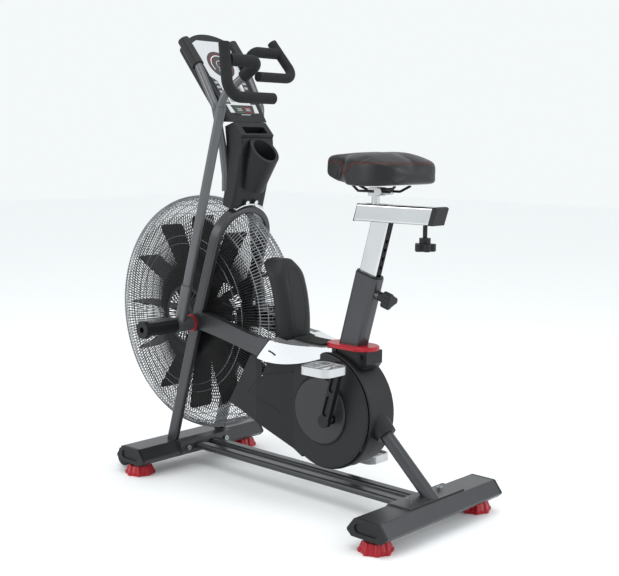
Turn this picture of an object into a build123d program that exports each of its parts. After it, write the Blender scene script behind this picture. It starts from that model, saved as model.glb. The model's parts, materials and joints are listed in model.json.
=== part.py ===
from build123d import *
from math import atan2, cos, degrees, hypot, pi, radians, sin, sqrt
import os

# Air bike: a stationary exercise bike whose pedals and moving arms drive a caged fan.
# Millimetres.  +X points forwards (the fan end), +Y to the rider's left, +Z up.
# The origin lies on the floor, at the centre of the machine's outer box.

os.makedirs("parts", exist_ok=True)

# ---------------------------------------------------------------- driving dimensions
REAR_X = -593.5            # centre line of the rear stabilizer
FRONT_X = 356.5            # centre line of the front stabilizer
STAB_HALF = 250            # half length of a stabilizer tube, without its end caps
STAB_TOP = 88              # height of the stabilizers' top face
STAB_LOW = 38              # height of the stabilizers' bottom face
STAB_WIDE = 54             # height at which a stabilizer is widest
WALL = 2.5                 # wall of the frame tubes
END_CAP = 9                # how far an end cap stands out of its tube
FOOT_Y = 219               # levelling feet, from the middle plane
FOOT_R = 47                # radius over the lobes of a levelling foot

FAN_X, FAN_Z = 290.5, 492.5
CAGE_R = 367               # outside radius of the fan cage
CAGE_Y = 86                # half thickness of the cage at its hub plates
HUB_R = 92                 # radius of the slotted hub plates
FAN_R = 306                # radius of the fan over its blade tips
BLADES = 12

PIVOT_X, PIVOT_Z = 216, 480
FRAME_Y = 100              # middle of the flat frame tubes, from the middle plane
TUBE_W, TUBE_T = 38, 20    # section of the flat frame tubes
HOUSING_R = 27             # radius of the arm-pivot housing
SHAFT_R = 10               # radius of the fixed pivot shaft
SLEEVE_R = 16              # radius of the arm hub's inner sleeve
RUN = 0.05                 # radial running clearance of a shaft in its bore

ARM_Y = 172                # plane of the moving arms
ARM_R = 14                 # radius of the arm tube
NECK_R = 11.5              # radius of the handle tube above the arm tube
GRIP_R = 15.5              # radius of the lower foam grip
BAR_GRIP_R = 17            # radius of the upper foam grip
ARM_TILT = {1: -16.4, -1: 7.7}   # lean of the left and the right arm at rest, degrees

CRANK_X, CRANK_Z = -303, 262
CRANK_LEN = 170
CRANK_LEAN = 17.7          # the left crank leans this far back from upright, degrees
DRUM_X, DRUM_Z, DRUM_R = -263, 279, 170
DRUM_Y = 58                # half thickness of the drive shroud at its drum
BELT_Y = -44               # middle plane of the belt
BELT_W = 14
CRANK_PULLEY_R, FAN_PULLEY_R = 112, 28
BELT_T = 4

SEAT_LEAN = 15.6           # the seat tube leans back by this angle, degrees
SEAT_FOOT_X, SEAT_FOOT_Z = -320, 455   # seat tube's axis at the red collar
SEAT_TUBE_LEN = 222
POST_L, POST_W = 60, 28    # section of the seat post
BEAM_Z, BEAM_H, BEAM_W = 815, 48, 50
SADDLE_BOTTOM, SADDLE_TOP = 914, 1000

MAST_W = 132               # width of the mast shroud


# ---------------------------------------------------------------- helpers
def save(solid, name):
    """Label a finished piece and write it."""
    solid.label = name
    export_step(solid, "parts/" + name + ".step")


def save_group(pieces, name):
    """Write identical or paired pieces as separate solids of one node."""
    with BuildPart() as group:
        for piece in pieces:
            add(piece)
    save(group.part, name)


def side_name(side):
    """Left is +Y, right is -Y."""
    return "left" if side > 0 else "right"


def upright(y):
    """An XZ plane at this y: local x is X, local y is Z, and it extrudes towards -Y."""
    return Plane.XZ.offset(-y)


def slab(side, inner, outer):
    """The plane from which an extrusion of (outer - inner) fills inner..outer on one side."""
    return upright(outer if side > 0 else -inner)


def along(start, end, x_dir):
    """A plane at start whose normal points at end."""
    return Plane(origin=start, x_dir=x_dir, z_dir=Vector(*end) - Vector(*start))


def spaced(start, end):
    """Distance between two points."""
    return (Vector(*end) - Vector(*start)).length


def straight_tube(start, end, width, depth, corner, wall, x_dir):
    """A straight rounded-rectangle tube from start to end."""
    plane = along(start, end, x_dir)
    length = spaced(start, end)
    with BuildPart() as tube:
        with BuildSketch(plane):
            RectangleRounded(width, depth, corner)
        extrude(amount=length)
        if wall:
            with BuildSketch(plane):
                RectangleRounded(width - 2 * wall, depth - 2 * wall, max(corner - wall, 0.8))
            extrude(amount=length, mode=Mode.SUBTRACT)
    return tube.part


def round_bar(points, bends, radius, bore=0.0):
    """A round bar or tube swept along straight runs joined by tangent arcs."""
    with BuildPart() as bar:
        with BuildLine() as path:
            if bends:
                FilletPolyline(*points, radius=bends)
            else:
                Line(points[0], points[-1])
        with BuildSketch(Plane(origin=path.line @ 0, z_dir=path.line % 0)):
            Circle(radius)
            if bore:
                Circle(bore, mode=Mode.SUBTRACT)
        sweep()
    return bar.part


# ---------------------------------------------------------------- base
def stabilizer_section(shrink=0.0):
    """Six-sided stabilizer section in an XZ plane, centred on x = 0."""
    top, wide, low = 39.5 - shrink, 66.1 - shrink * 1.2, 48.5 - shrink
    with BuildSketch() as section:
        with BuildLine():
            Polyline(
                (-low, STAB_LOW + shrink),
                (low, STAB_LOW + shrink),
                (wide, STAB_WIDE),
                (top, STAB_TOP - shrink),
                (-top, STAB_TOP - shrink),
                (-wide, STAB_WIDE),
                close=True,
            )
        make_face()
        fillet(section.vertices(), radius=max(7 - shrink, 2))
    return section.sketch


STAB_OUTER = stabilizer_section()
STAB_INNER = stabilizer_section(WALL)


stabilizers = []
for x_mid in (FRONT_X, REAR_X):
    with BuildPart() as stabilizer:
        with BuildSketch(Plane.XZ.move(Location((x_mid, 0, 0)))):
            add(STAB_OUTER)
        extrude(amount=STAB_HALF, both=True)
        with BuildSketch(Plane.XZ.move(Location((x_mid, 0, 0)))):
            add(STAB_INNER)
        extrude(amount=STAB_HALF, both=True, mode=Mode.SUBTRACT)
        with BuildSketch(Plane.XY.offset(STAB_LOW)):
            with Locations((x_mid, FOOT_Y), (x_mid, -FOOT_Y)):
                Circle(6.3)
        extrude(amount=WALL + 1, both=True, mode=Mode.SUBTRACT)
    stabilizers.append(stabilizer.part)
save_group(stabilizers, "stabilizers")

with BuildPart() as end_caps:
    for x_mid in (FRONT_X, REAR_X):
        for side in (1, -1):
            with BuildSketch(slab(side, STAB_HALF, STAB_HALF + END_CAP)):
                with Locations((x_mid, 0)):
                    add(STAB_OUTER)
            extrude(amount=END_CAP)
            with BuildSketch(slab(side, STAB_HALF + END_CAP - 4, STAB_HALF + END_CAP)):
                with Locations((x_mid, (STAB_TOP + STAB_LOW) / 2)):
                    SlotOverall(78, 26)
            extrude(amount=4, mode=Mode.SUBTRACT)
save(end_caps.part, "stabilizer_end_caps")

# Each levelling foot is a lobed screw-in disc with a stud into the stabilizer's bottom face.
for place, x_mid in (("front", FRONT_X), ("rear", REAR_X)):
    for side in (1, -1):
        with BuildPart() as foot:
            with BuildSketch(Plane.XY):
                with Locations((x_mid, side * FOOT_Y)):
                    Circle(FOOT_R - 5)
                    with PolarLocations(FOOT_R - 9, 8):
                        Circle(9)
            extrude(amount=9)
            with BuildSketch(Plane.XY.offset(9)):
                with Locations((x_mid, side * FOOT_Y)):
                    Circle(FOOT_R - 7)
                    with PolarLocations(FOOT_R - 10.5, 8):
                        Circle(8.5)
            extrude(amount=19, taper=24)
            chamfer(foot.faces().sort_by(Axis.Z)[0].edges(), 1.5)
            with BuildSketch(Plane.XY.offset(27.5)):
                with Locations((x_mid, side * FOOT_Y)):
                    Circle(9)
            extrude(amount=STAB_LOW - 27.5 - 0.3)
            with BuildSketch(Plane.XY.offset(STAB_LOW - 0.5)):
                with Locations((x_mid, side * FOOT_Y)):
                    Circle(6.2)
            extrude(amount=14)
        save(foot.part, "levelling_foot_" + place + "_" + side_name(side))

# Transport wheels roll ahead of the front stabilizer, just clear of the floor.
WHEEL_X = FRONT_X + 87
WHEEL_Z = 33
WHEEL_R = 28
WHEEL_Y = 205
with BuildPart() as wheel_brackets:
    for side in (1, -1):
        with BuildSketch(upright(side * WHEEL_Y + 22)):
            with BuildLine():
                Polyline(
                    (FRONT_X + 66, STAB_WIDE - 6),
                    (FRONT_X + 58, 62),
                    (FRONT_X + 52, 72),
                    (WHEEL_X + 8, 62),
                    (WHEEL_X + 13, WHEEL_Z),
                    (WHEEL_X - 2, WHEEL_Z - 12),
                    close=True,
                )
            make_face()
        extrude(amount=44)
        with BuildSketch(upright(side * WHEEL_Y + 16)):
            with Locations((WHEEL_X, WHEEL_Z)):
                Circle(WHEEL_R + 2)
        extrude(amount=32, mode=Mode.SUBTRACT)
    with BuildSketch(Plane.XZ.move(Location((FRONT_X, 0, 0)))):
        add(STAB_OUTER)
    extrude(amount=STAB_HALF, both=True, mode=Mode.SUBTRACT)
    for side in (1, -1):
        with BuildSketch(upright(side * WHEEL_Y + 24)):
            with Locations((WHEEL_X, WHEEL_Z)):
                Circle(5)
        extrude(amount=48)
save(wheel_brackets.part, "wheel_brackets")
wheels = []
for side in (1, -1):
    with BuildPart() as wheel:
        with BuildSketch(upright(side * WHEEL_Y + 14)):
            with Locations((WHEEL_X, WHEEL_Z)):
                Circle(WHEEL_R)
                Circle(5 + RUN, mode=Mode.SUBTRACT)
        extrude(amount=28)
        fillet(wheel.edges().filter_by(GeomType.CIRCLE).group_by(SortBy.LENGTH)[-1], radius=3)
    wheels.append(wheel.part)
save_group(wheels, "transport_wheels")

# Two flat base rails, bolted to both stabilizers through a bracket and a plate.
RAIL_Y, RAIL_W, RAIL_H, RAIL_LOW = 31, 36, 20, 56
RAIL_FRONT, RAIL_REAR = FRONT_X - 66, REAR_X + 58
rails = []
for side in (1, -1):
    rail = straight_tube(
        (RAIL_REAR, side * RAIL_Y, RAIL_LOW + RAIL_H / 2),
        (RAIL_FRONT, side * RAIL_Y, RAIL_LOW + RAIL_H / 2),
        RAIL_W, RAIL_H, 8.5, WALL, (0, 1, 0),
    )
    with BuildPart() as cut_rail:
        add(rail)
        with BuildSketch(Plane.XZ.move(Location((REAR_X, 0, 0)))):
            add(STAB_OUTER)
        extrude(amount=STAB_HALF, both=True, mode=Mode.SUBTRACT)
        with BuildSketch(Plane.XZ.move(Location((FRONT_X, 0, 0)))):
            add(STAB_OUTER)
        extrude(amount=STAB_HALF, both=True, mode=Mode.SUBTRACT)
    rails.append(cut_rail.part)
save_group(rails, "base_rails")

with BuildPart() as front_bracket:
    with BuildSketch(upright(106)):
        with BuildLine():
            Polyline(
                (FRONT_X - 41, STAB_TOP),
                (FRONT_X - 41, STAB_TOP + 4),
                (FRONT_X - 62, STAB_TOP - 2),
                (FRONT_X - 68, 56),
                (FRONT_X - 58, 44),
                (FRONT_X - 54, 44),
                (FRONT_X - 64, STAB_WIDE),
                close=True,
            )
        make_face()
    extrude(amount=212)
    with BuildSketch(Plane.XZ.move(Location((FRONT_X, 0, 0)))):
        add(STAB_OUTER)
    extrude(amount=STAB_HALF, both=True, mode=Mode.SUBTRACT)
    with BuildSketch(Plane.YZ.offset(FRONT_X - 75)):
        with Locations((0, RAIL_LOW + RAIL_H / 2)):
            RectangleRounded(2 * RAIL_Y + RAIL_W, RAIL_H, 8.5)
    extrude(amount=9, mode=Mode.SUBTRACT)

PLATE_T = 4
POST_LOW = (-598, 0, 92)
POST_HIGH = (-424, 0, 251)
with BuildPart() as rear_plate:
    with BuildSketch(upright(119)):
        with BuildLine():
            Polyline(
                (REAR_X - 32, STAB_TOP),
                (REAR_X - 32, STAB_TOP + PLATE_T),
                (REAR_X + 41, STAB_TOP + PLATE_T),
                (REAR_X + 60, 72),
                (REAR_X + 60, 56),
                (REAR_X + 52, 50),
                close=True,
            )
        make_face()
    extrude(amount=238)
    with BuildSketch(Plane.XZ.move(Location((REAR_X, 0, 0)))):
        add(STAB_OUTER)
    extrude(amount=STAB_HALF, both=True, mode=Mode.SUBTRACT)
    for side in (1, -1):
        with BuildSketch(Plane.YZ.offset(REAR_X + 58)):
            with Locations((side * RAIL_Y, RAIL_LOW + RAIL_H / 2)):
                RectangleRounded(RAIL_W, RAIL_H, 8.5)
        extrude(amount=20, mode=Mode.SUBTRACT)
save_group([front_bracket.part, rear_plate.part], "mounting_plates")

POST_AXIS = Plane(origin=POST_LOW, x_dir=(0, 1, 0), z_dir=Vector(*POST_HIGH) - Vector(*POST_LOW))
with BuildPart() as rear_post:
    with BuildSketch(POST_AXIS.offset(-40)):
        Circle(19)
    extrude(amount=40 + spaced(POST_LOW, POST_HIGH))
    with BuildSketch(POST_AXIS.offset(-40)):
        Circle(16)
    extrude(amount=40 + spaced(POST_LOW, POST_HIGH), mode=Mode.SUBTRACT)
    with BuildSketch(Plane.XY.offset(STAB_TOP + PLATE_T)):
        with Locations((REAR_X, 0)):
            Rectangle(300, 300)
    extrude(amount=-200, mode=Mode.SUBTRACT)
save(rear_post.part, "rear_post")


# Hexagon bolts of the base: four through the bracket and the plate, two at the legs' feet.
def bolt_on(plane, head_r, head_h):
    """A socket-head bolt whose head stands on a plane."""
    with BuildPart() as bolt:
        with BuildSketch(plane):
            Circle(head_r)
        extrude(amount=head_h)
        with BuildSketch(plane.offset(head_h)):
            RegularPolygon(head_r * 0.55, 6)
        extrude(amount=-head_h * 0.6, mode=Mode.SUBTRACT)
    return bolt.part


PLATE_FACE = STAB_TOP + PLATE_T
rear_bolts = [
    bolt_on(Plane(origin=(REAR_X + 12, side * 66, PLATE_FACE), z_dir=(0, 0, 1)), 8, 8)
    for side in (1, -1)
]
front_bolts = [
    bolt_on(Plane(origin=(FRONT_X - 68.6, side * 80, 66), z_dir=(-1, 0, 0.2)), 7.5, 6)
    for side in (1, -1)
]
with BuildPart() as base_bolts:
    for bolt_solid in rear_bolts + front_bolts:
        add(bolt_solid)
save(base_bolts.part, "base_bolts")

# ---------------------------------------------------------------- front frame
LEG_FOOT = (FRONT_X - 13, STAB_TOP)
ARCH_TOP_Z = 838
ARCH_LEAN = 0.33                       # the arch runs back by this much for each unit of height
ARCH_MID_R = FRAME_Y                   # the arch's bend, to the middle of the tube
PIVOT_CUT = HOUSING_R + 0.05


def arch_point(y, height):
    """A point in the arch's leaning plane, at this height above the arm pivot."""
    return (PIVOT_X + 4 - ARCH_LEAN * height, y, PIVOT_Z + height)


legs = []
for side in (1, -1):
    foot_point = (LEG_FOOT[0], side * FRAME_Y, LEG_FOOT[1] - 12)
    top_point = (PIVOT_X + 4, side * FRAME_Y, PIVOT_Z)
    leg_tube = straight_tube(foot_point, top_point, TUBE_T, TUBE_W, 6, WALL, (0, 1, 0))
    with BuildPart() as leg:
        add(leg_tube)
        with BuildSketch(Plane.XY.offset(STAB_TOP)):
            with Locations((FRONT_X, side * FRAME_Y)):
                Rectangle(200, 100)
        extrude(amount=-60, mode=Mode.SUBTRACT)
        with BuildSketch(upright(side * FRAME_Y + 30)):
            with Locations((PIVOT_X, PIVOT_Z)):
                Circle(PIVOT_CUT)
        extrude(amount=60, mode=Mode.SUBTRACT)
    legs.append(leg.part.solids().sort_by(SortBy.VOLUME)[-1])
save_group(legs, "front_legs")

arch_shoulder = ARCH_TOP_Z - PIVOT_Z - ARCH_MID_R
with BuildPart() as arch:
    with BuildLine() as arch_path:
        run_up = Line(arch_point(FRAME_Y, 0), arch_point(FRAME_Y, arch_shoulder))
        over = ThreePointArc(
            arch_point(FRAME_Y, arch_shoulder),
            arch_point(0, ARCH_TOP_Z - PIVOT_Z - TUBE_T / 2),
            arch_point(-FRAME_Y, arch_shoulder),
        )
        run_down = Line(arch_point(-FRAME_Y, arch_shoulder), arch_point(-FRAME_Y, 0))
    with BuildSketch(Plane(origin=arch_path.line @ 0, x_dir=(0, 1, 0), z_dir=arch_path.line % 0)):
        RectangleRounded(TUBE_T, TUBE_W, 6)
        RectangleRounded(TUBE_T - 2 * WALL, TUBE_W - 2 * WALL, 4, mode=Mode.SUBTRACT)
    sweep(transition=Transition.ROUND)
    with BuildSketch(upright(FRAME_Y + 40)):
        with Locations((PIVOT_X, PIVOT_Z)):
            Circle(PIVOT_CUT)
    extrude(amount=2 * FRAME_Y + 80, mode=Mode.SUBTRACT)
save(arch.part.solids().sort_by(SortBy.VOLUME)[-1], "frame_arch")

# Side arms: flat hollow boxes from the arm pivots back to the drive housing.
ARM_BOX_Y = (FRAME_Y - 12, FRAME_Y + 12)
SIDE_END_X = -88


def side_arm_outline(shrink):
    """Side view of a side arm, which sags a little between its ends."""
    with BuildSketch() as outline:
        with BuildLine():
            upper = Spline(
                (PIVOT_X - 28.5, PIVOT_Z + 33 - shrink),
                (90, 497 - shrink),
                (0, 477 - shrink),
                (SIDE_END_X - 12, 464 - shrink),
            )
            lower = Spline(
                (PIVOT_X - 17, PIVOT_Z - 20 + shrink),
                (90, 442 + shrink),
                (0, 424 + shrink),
                (SIDE_END_X + 34, 413 + shrink),
            )
            Line(upper @ 0, lower @ 0)
            Line(upper @ 1, lower @ 1)
        make_face()
    return outline.sketch


SIDE_ARM_OUTER = side_arm_outline(0)
SIDE_ARM_INNER = side_arm_outline(4)

side_arms = []
for side in (1, -1):
    with BuildPart() as side_arm:
        with BuildSketch(slab(side, *ARM_BOX_Y)):
            add(SIDE_ARM_OUTER)
        extrude(amount=ARM_BOX_Y[1] - ARM_BOX_Y[0])
        with BuildSketch(slab(side, ARM_BOX_Y[0] + 3, ARM_BOX_Y[1] - 3)):
            add(SIDE_ARM_INNER)
        extrude(amount=ARM_BOX_Y[1] - ARM_BOX_Y[0] - 6, mode=Mode.SUBTRACT)
        with BuildSketch(slab(side, 60, 140)):
            with Locations((PIVOT_X, PIVOT_Z)):
                Circle(PIVOT_CUT)
        extrude(amount=80, mode=Mode.SUBTRACT)
    side_arms.append(side_arm.part.solids().sort_by(SortBy.VOLUME)[-1])
save_group(side_arms, "side_arms")

# Pivot housings: a drum on each side that carries the arm's hub sleeve in a bush.
HOUSING_OUT = 126
housings = []
for side in (1, -1):
    with BuildPart() as housing:
        with BuildSketch(slab(side, ARM_BOX_Y[0], HOUSING_OUT)):
            with Locations((PIVOT_X, PIVOT_Z)):
                Circle(HOUSING_R)
        extrude(amount=HOUSING_OUT - ARM_BOX_Y[0])
        with BuildSketch(slab(side, ARM_BOX_Y[0] + 4, HOUSING_OUT)):
            with Locations((PIVOT_X, PIVOT_Z)):
                Circle(SLEEVE_R + 4)
        extrude(amount=HOUSING_OUT - ARM_BOX_Y[0] - 4, mode=Mode.SUBTRACT)
        with BuildSketch(slab(side, ARM_BOX_Y[0], HOUSING_OUT)):
            with Locations((PIVOT_X, PIVOT_Z)):
                Circle(SHAFT_R)
        extrude(amount=HOUSING_OUT - ARM_BOX_Y[0], mode=Mode.SUBTRACT)
    housings.append(housing.part)
save_group(housings, "pivot_housings")

# Each arm turns in a plastic bush whose flange shows as a thin red ring.
with BuildPart() as bushes:
    for side in (1, -1):
        with BuildSketch(slab(side, ARM_BOX_Y[0] + 4, HOUSING_OUT)):
            with Locations((PIVOT_X, PIVOT_Z)):
                Circle(SLEEVE_R + 4)
        extrude(amount=HOUSING_OUT - ARM_BOX_Y[0] - 4)
        with BuildSketch(slab(side, HOUSING_OUT, HOUSING_OUT + 3)):
            with Locations((PIVOT_X, PIVOT_Z)):
                Circle(HOUSING_R - 1)
        extrude(amount=3)
        with BuildSketch(slab(side, ARM_BOX_Y[0], HOUSING_OUT + 3)):
            with Locations((PIVOT_X, PIVOT_Z)):
                Circle(SLEEVE_R + RUN)
        extrude(amount=HOUSING_OUT + 3 - ARM_BOX_Y[0], mode=Mode.SUBTRACT)
save(bushes.part, "arm_pivot_bushes")

PEG_IN, PEG_OUT = 194, 317
# Foot pegs: an octagonal bar with a ribbed steel tread on top and a flared end, welded to
# the fixed shaft that the moving arm turns on.
pegs = []
for side in (1, -1):
    with BuildPart() as peg:
        with BuildSketch(slab(side, PEG_IN, PEG_OUT - 16)):
            with Locations((PIVOT_X, PIVOT_Z)):
                RegularPolygon(22, 8, rotation=22.5)
        extrude(amount=PEG_OUT - 16 - PEG_IN)
        with BuildSketch(slab(side, PEG_OUT - 16, PEG_OUT)):
            with Locations((PIVOT_X, PIVOT_Z)):
                RegularPolygon(27, 8, rotation=22.5)
        extrude(amount=16)
        with BuildSketch(slab(side, PEG_OUT - 22, PEG_OUT)):
            with Locations((PIVOT_X, PIVOT_Z)):
                Circle(9)
        extrude(amount=22, mode=Mode.SUBTRACT)
        with BuildSketch(slab(side, PEG_IN + 4, PEG_OUT - 16)):
            with Locations((PIVOT_X, PIVOT_Z + 22)):
                Rectangle(22, 7)
        extrude(amount=PEG_OUT - 20 - PEG_IN, mode=Mode.SUBTRACT)
        with BuildSketch(slab(side, ARM_BOX_Y[0], PEG_IN)):
            with Locations((PIVOT_X, PIVOT_Z)):
                Circle(SHAFT_R)
        extrude(amount=PEG_IN - ARM_BOX_Y[0])
    pegs.append(peg.part)
save_group(pegs, "foot_pegs")

with BuildPart() as treads:
    for side in (1, -1):
        with BuildSketch(slab(side, PEG_IN + 4, PEG_OUT - 16)):
            with Locations((PIVOT_X, PIVOT_Z + 21.5)):
                Rectangle(22, 6)
        extrude(amount=PEG_OUT - 20 - PEG_IN)
        for rib in range(5):
            with BuildSketch(slab(side, PEG_IN + 4, PEG_OUT - 16)):
                with Locations((PIVOT_X - 8 + 4 * rib, PIVOT_Z + 24.5)):
                    Rectangle(1.8, 1.6)
            extrude(amount=PEG_OUT - 20 - PEG_IN, mode=Mode.SUBTRACT)
save(treads.part, "peg_treads")


# ---------------------------------------------------------------- moving arms
def arm_world(side, back, y, up):
    """A point of an arm, given in the arm's own upright frame, at the arm's rest lean."""
    lean = radians(ARM_TILT[side])
    return (
        PIVOT_X - back * cos(lean) + up * sin(lean),
        side * y,
        PIVOT_Z + back * sin(lean) + up * cos(lean),
    )


ARM_BEND = (-2, ARM_Y, 704)            # where the arm tube turns back towards its bar
BAR_IN = (88, 149, 821)                # inner corner of the upper bar
BAR_OUT = (87, 262, 821)               # outer end of the upper bar
GRIP_TOP = (64, 269, 860)
GRIP_CORNER = (138, 287, 733)
GRIP_END = (138, 118, 733)

# The right arm and its grips are built, and the left ones are their mirror image, leaning
# the other way.
side = -1
tube_line = [arm_world(side, 0, ARM_Y, 40), arm_world(side, *ARM_BEND),
             arm_world(side, *BAR_IN), arm_world(side, *BAR_OUT)]
grip_line = [arm_world(side, *GRIP_TOP), arm_world(side, *GRIP_CORNER), arm_world(side, *GRIP_END)]
bar_start = [0.45 * a + 0.55 * b for a, b in zip(ARM_BEND, BAR_IN)]
bar_line = [arm_world(side, *bar_start), arm_world(side, *BAR_IN), arm_world(side, *BAR_OUT)]
neck = round_bar(tube_line, (70, 26), NECK_R)
shaft_tube = round_bar([arm_world(side, 0, ARM_Y, 24), arm_world(side, -1.9, ARM_Y, 670)], None, ARM_R)
socket = round_bar([arm_world(side, 0, ARM_Y, 0), arm_world(side, 0, ARM_Y, 128)], None, 17)
lower_foam = round_bar(grip_line, 42, GRIP_R)
bar_foam = round_bar(bar_line, 26, BAR_GRIP_R, NECK_R)

with BuildPart() as arm:
    add(neck)
    add(shaft_tube)
    add(socket)
    with BuildSketch(slab(side, HOUSING_OUT + 4, PEG_IN - 2)):
        with Locations((PIVOT_X, PIVOT_Z)):
            Circle(22)
    extrude(amount=PEG_IN - 2 - HOUSING_OUT - 4)
    with BuildSketch(slab(side, ARM_BOX_Y[0] + 5, PEG_IN - 2)):
        with Locations((PIVOT_X, PIVOT_Z)):
            Circle(SLEEVE_R)
    extrude(amount=PEG_IN - 2 - ARM_BOX_Y[0] - 5)
    with BuildSketch(slab(side, ARM_BOX_Y[0], PEG_IN)):
        with Locations((PIVOT_X, PIVOT_Z)):
            Circle(SHAFT_R + RUN)
    extrude(amount=PEG_IN - ARM_BOX_Y[0], mode=Mode.SUBTRACT)
    add(lower_foam, mode=Mode.SUBTRACT)
arm_solid = arm.part.solids().sort_by(SortBy.VOLUME)[-1]

with BuildPart() as upper_grip:
    add(bar_foam)
    add(lower_foam, mode=Mode.SUBTRACT)
with BuildPart() as grips:
    add(upper_grip.part.solids().sort_by(SortBy.VOLUME)[-1])
    add(lower_foam)

PIVOT_LINE = Axis((PIVOT_X, 0, PIVOT_Z), (0, 1, 0))
for piece, name in ((arm_solid, "arm_"), (grips.part, "grips_")):
    save(piece, name + "right")
    other = mirror(piece, about=Plane.XZ).rotate(PIVOT_LINE, ARM_TILT[1] - ARM_TILT[-1])
    save(other, name + "left")

# ---------------------------------------------------------------- fan and cage
FAN_AXIS = Axis((FAN_X, 0, FAN_Z), (0, 1, 0))
FAN_RADIAL = Plane(origin=(FAN_X, 0, FAN_Z), x_dir=(1, 0, 0), z_dir=(0, 0, 1))
AXLE_R = 8
BEARING_R = 16
CAGE_WALL = 3
CAGE_BARS = 48
BELT_WAY = 13                          # half width of the way that the belt needs

with BuildPart() as fan_axle:
    with BuildSketch(upright(CAGE_Y + 12)):
        with Locations((FAN_X, FAN_Z)):
            Circle(AXLE_R)
    extrude(amount=2 * CAGE_Y + 24)
    for side in (1, -1):
        with BuildSketch(slab(side, CAGE_Y + 2, CAGE_Y + 9)):
            with Locations((FAN_X, FAN_Z)):
                RegularPolygon(13, 6)
        extrude(amount=7)
save(fan_axle.part, "fan_axle")

with BuildPart() as fan_hub:
    with BuildSketch(upright(40)):
        with Locations((FAN_X, FAN_Z)):
            Circle(50)
    extrude(amount=40 - BELT_Y - BELT_W / 2 - 1)
    with BuildSketch(upright(BELT_Y + BELT_W / 2 + 1)):
        with Locations((FAN_X, FAN_Z)):
            Circle(FAN_PULLEY_R)
    extrude(amount=BELT_W + 2)
    with BuildSketch(upright(60)):
        with Locations((FAN_X, FAN_Z)):
            Circle(BEARING_R + RUN)
    extrude(amount=160, mode=Mode.SUBTRACT)
    chamfer(fan_hub.edges().filter_by(GeomType.CIRCLE).group_by(SortBy.LENGTH)[-1], 4)
save(fan_hub.part, "fan_hub")

# Paddle blades: plates along the axle, wider towards their tips.
with BuildPart() as fan_blades:
    for number in range(BLADES):
        turn = -1.4 + 360 / BLADES * number
        blade_plane = FAN_RADIAL.rotated((0, turn, 0))
        with BuildSketch(blade_plane.offset(-1.5)):
            with BuildLine():
                Polyline((50.3, -18), (FAN_R - 8, -28), (FAN_R, -20), (FAN_R, 54), (FAN_R - 8, 62), (50.3, 34),
                         close=True)
            make_face()
        extrude(amount=3)
save(fan_blades.part, "fan_blades")

bearing_places = [
    (FAN_X, FAN_Z, AXLE_R, BEARING_R, 24, 36),
    (FAN_X, FAN_Z, AXLE_R, BEARING_R, -48, -36),
]

cage_halves = []
for side in (1, -1):
    with BuildPart() as cage:
        with BuildSketch(FAN_RADIAL):
            with BuildLine():
                skin = FilletPolyline(
                    (20, side * (CAGE_Y - 2)),
                    (HUB_R, side * (CAGE_Y - 2)),
                    (325, side * 70),
                    (CAGE_R, side * 34),
                    (CAGE_R, 0),
                    radius=24,
                )
                inside = FilletPolyline(
                    (20, side * (CAGE_Y - 2 - CAGE_WALL)),
                    (HUB_R - 1, side * (CAGE_Y - 2 - CAGE_WALL)),
                    (323.5, side * (70 - CAGE_WALL)),
                    (CAGE_R - CAGE_WALL, side * (34 - 1.5)),
                    (CAGE_R - CAGE_WALL, 0),
                    radius=22,
                )
                Line(skin @ 0, inside @ 0)
                Line(skin @ 1, inside @ 1)
            make_face()
        revolve(axis=FAN_AXIS)
        with BuildSketch(slab(side, 40, CAGE_Y + 4)):
            with Locations((FAN_X, FAN_Z)):
                Circle(AXLE_R + 0.2)
                for near, far in ((HUB_R + 6, 204), (211, 318)):
                    with PolarLocations((near + far) / 2, CAGE_BARS):
                        Trapezoid(0.088 * far, far - near, 87.48, rotation=90)
                with PolarLocations((HUB_R - 12 + 34) / 2, 36):
                    Rectangle(HUB_R - 12 - 38, 3.2)
        extrude(amount=CAGE_Y - 36, mode=Mode.SUBTRACT)
        if side < 0:
            with BuildSketch(upright(BELT_Y + BELT_WAY)):
                with Locations((-10, 372)):
                    Rectangle(300, 200)
            extrude(amount=2 * BELT_WAY, mode=Mode.SUBTRACT)
    cage_halves.append(cage.part.solids().sort_by(SortBy.VOLUME)[-1])
save_group(cage_halves, "fan_cage")

# Rear guard: a moulded cover that wraps the back of the cage.
GUARD_Y, GUARD_OUT = 62, 44
with BuildPart() as rear_guard:
    with BuildSketch(upright(GUARD_Y)):
        with Locations((FAN_X, FAN_Z)):
            Circle(CAGE_R + GUARD_OUT)
            Circle(CAGE_R + 1.5, mode=Mode.SUBTRACT)
        with Locations((FAN_X - CAGE_R + 30, 571)):
            Rectangle(220, 236, mode=Mode.INTERSECT)
    extrude(amount=2 * GUARD_Y)
    outer_edges = rear_guard.edges().filter_by(GeomType.CIRCLE).group_by(SortBy.RADIUS)[-1]
    fillet(outer_edges, radius=34)
    with BuildSketch(upright(GUARD_Y - 4)):
        with Locations((FAN_X, FAN_Z)):
            Circle(CAGE_R + GUARD_OUT - 24)
            Circle(CAGE_R - 8, mode=Mode.SUBTRACT)
        with Locations((FAN_X - CAGE_R + 30, 571)):
            Rectangle(220, 226, mode=Mode.INTERSECT)
    extrude(amount=2 * GUARD_Y - 8, mode=Mode.SUBTRACT)
save(rear_guard.part, "rear_guard")

# ---------------------------------------------------------------- drive
CRANK_AXLE_R = 10
HUB_FACE = 102                         # outer face of a crank's hub
CRANK_T = 16
PEDAL_IN, PEDAL_OUT = 112, 206

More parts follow.
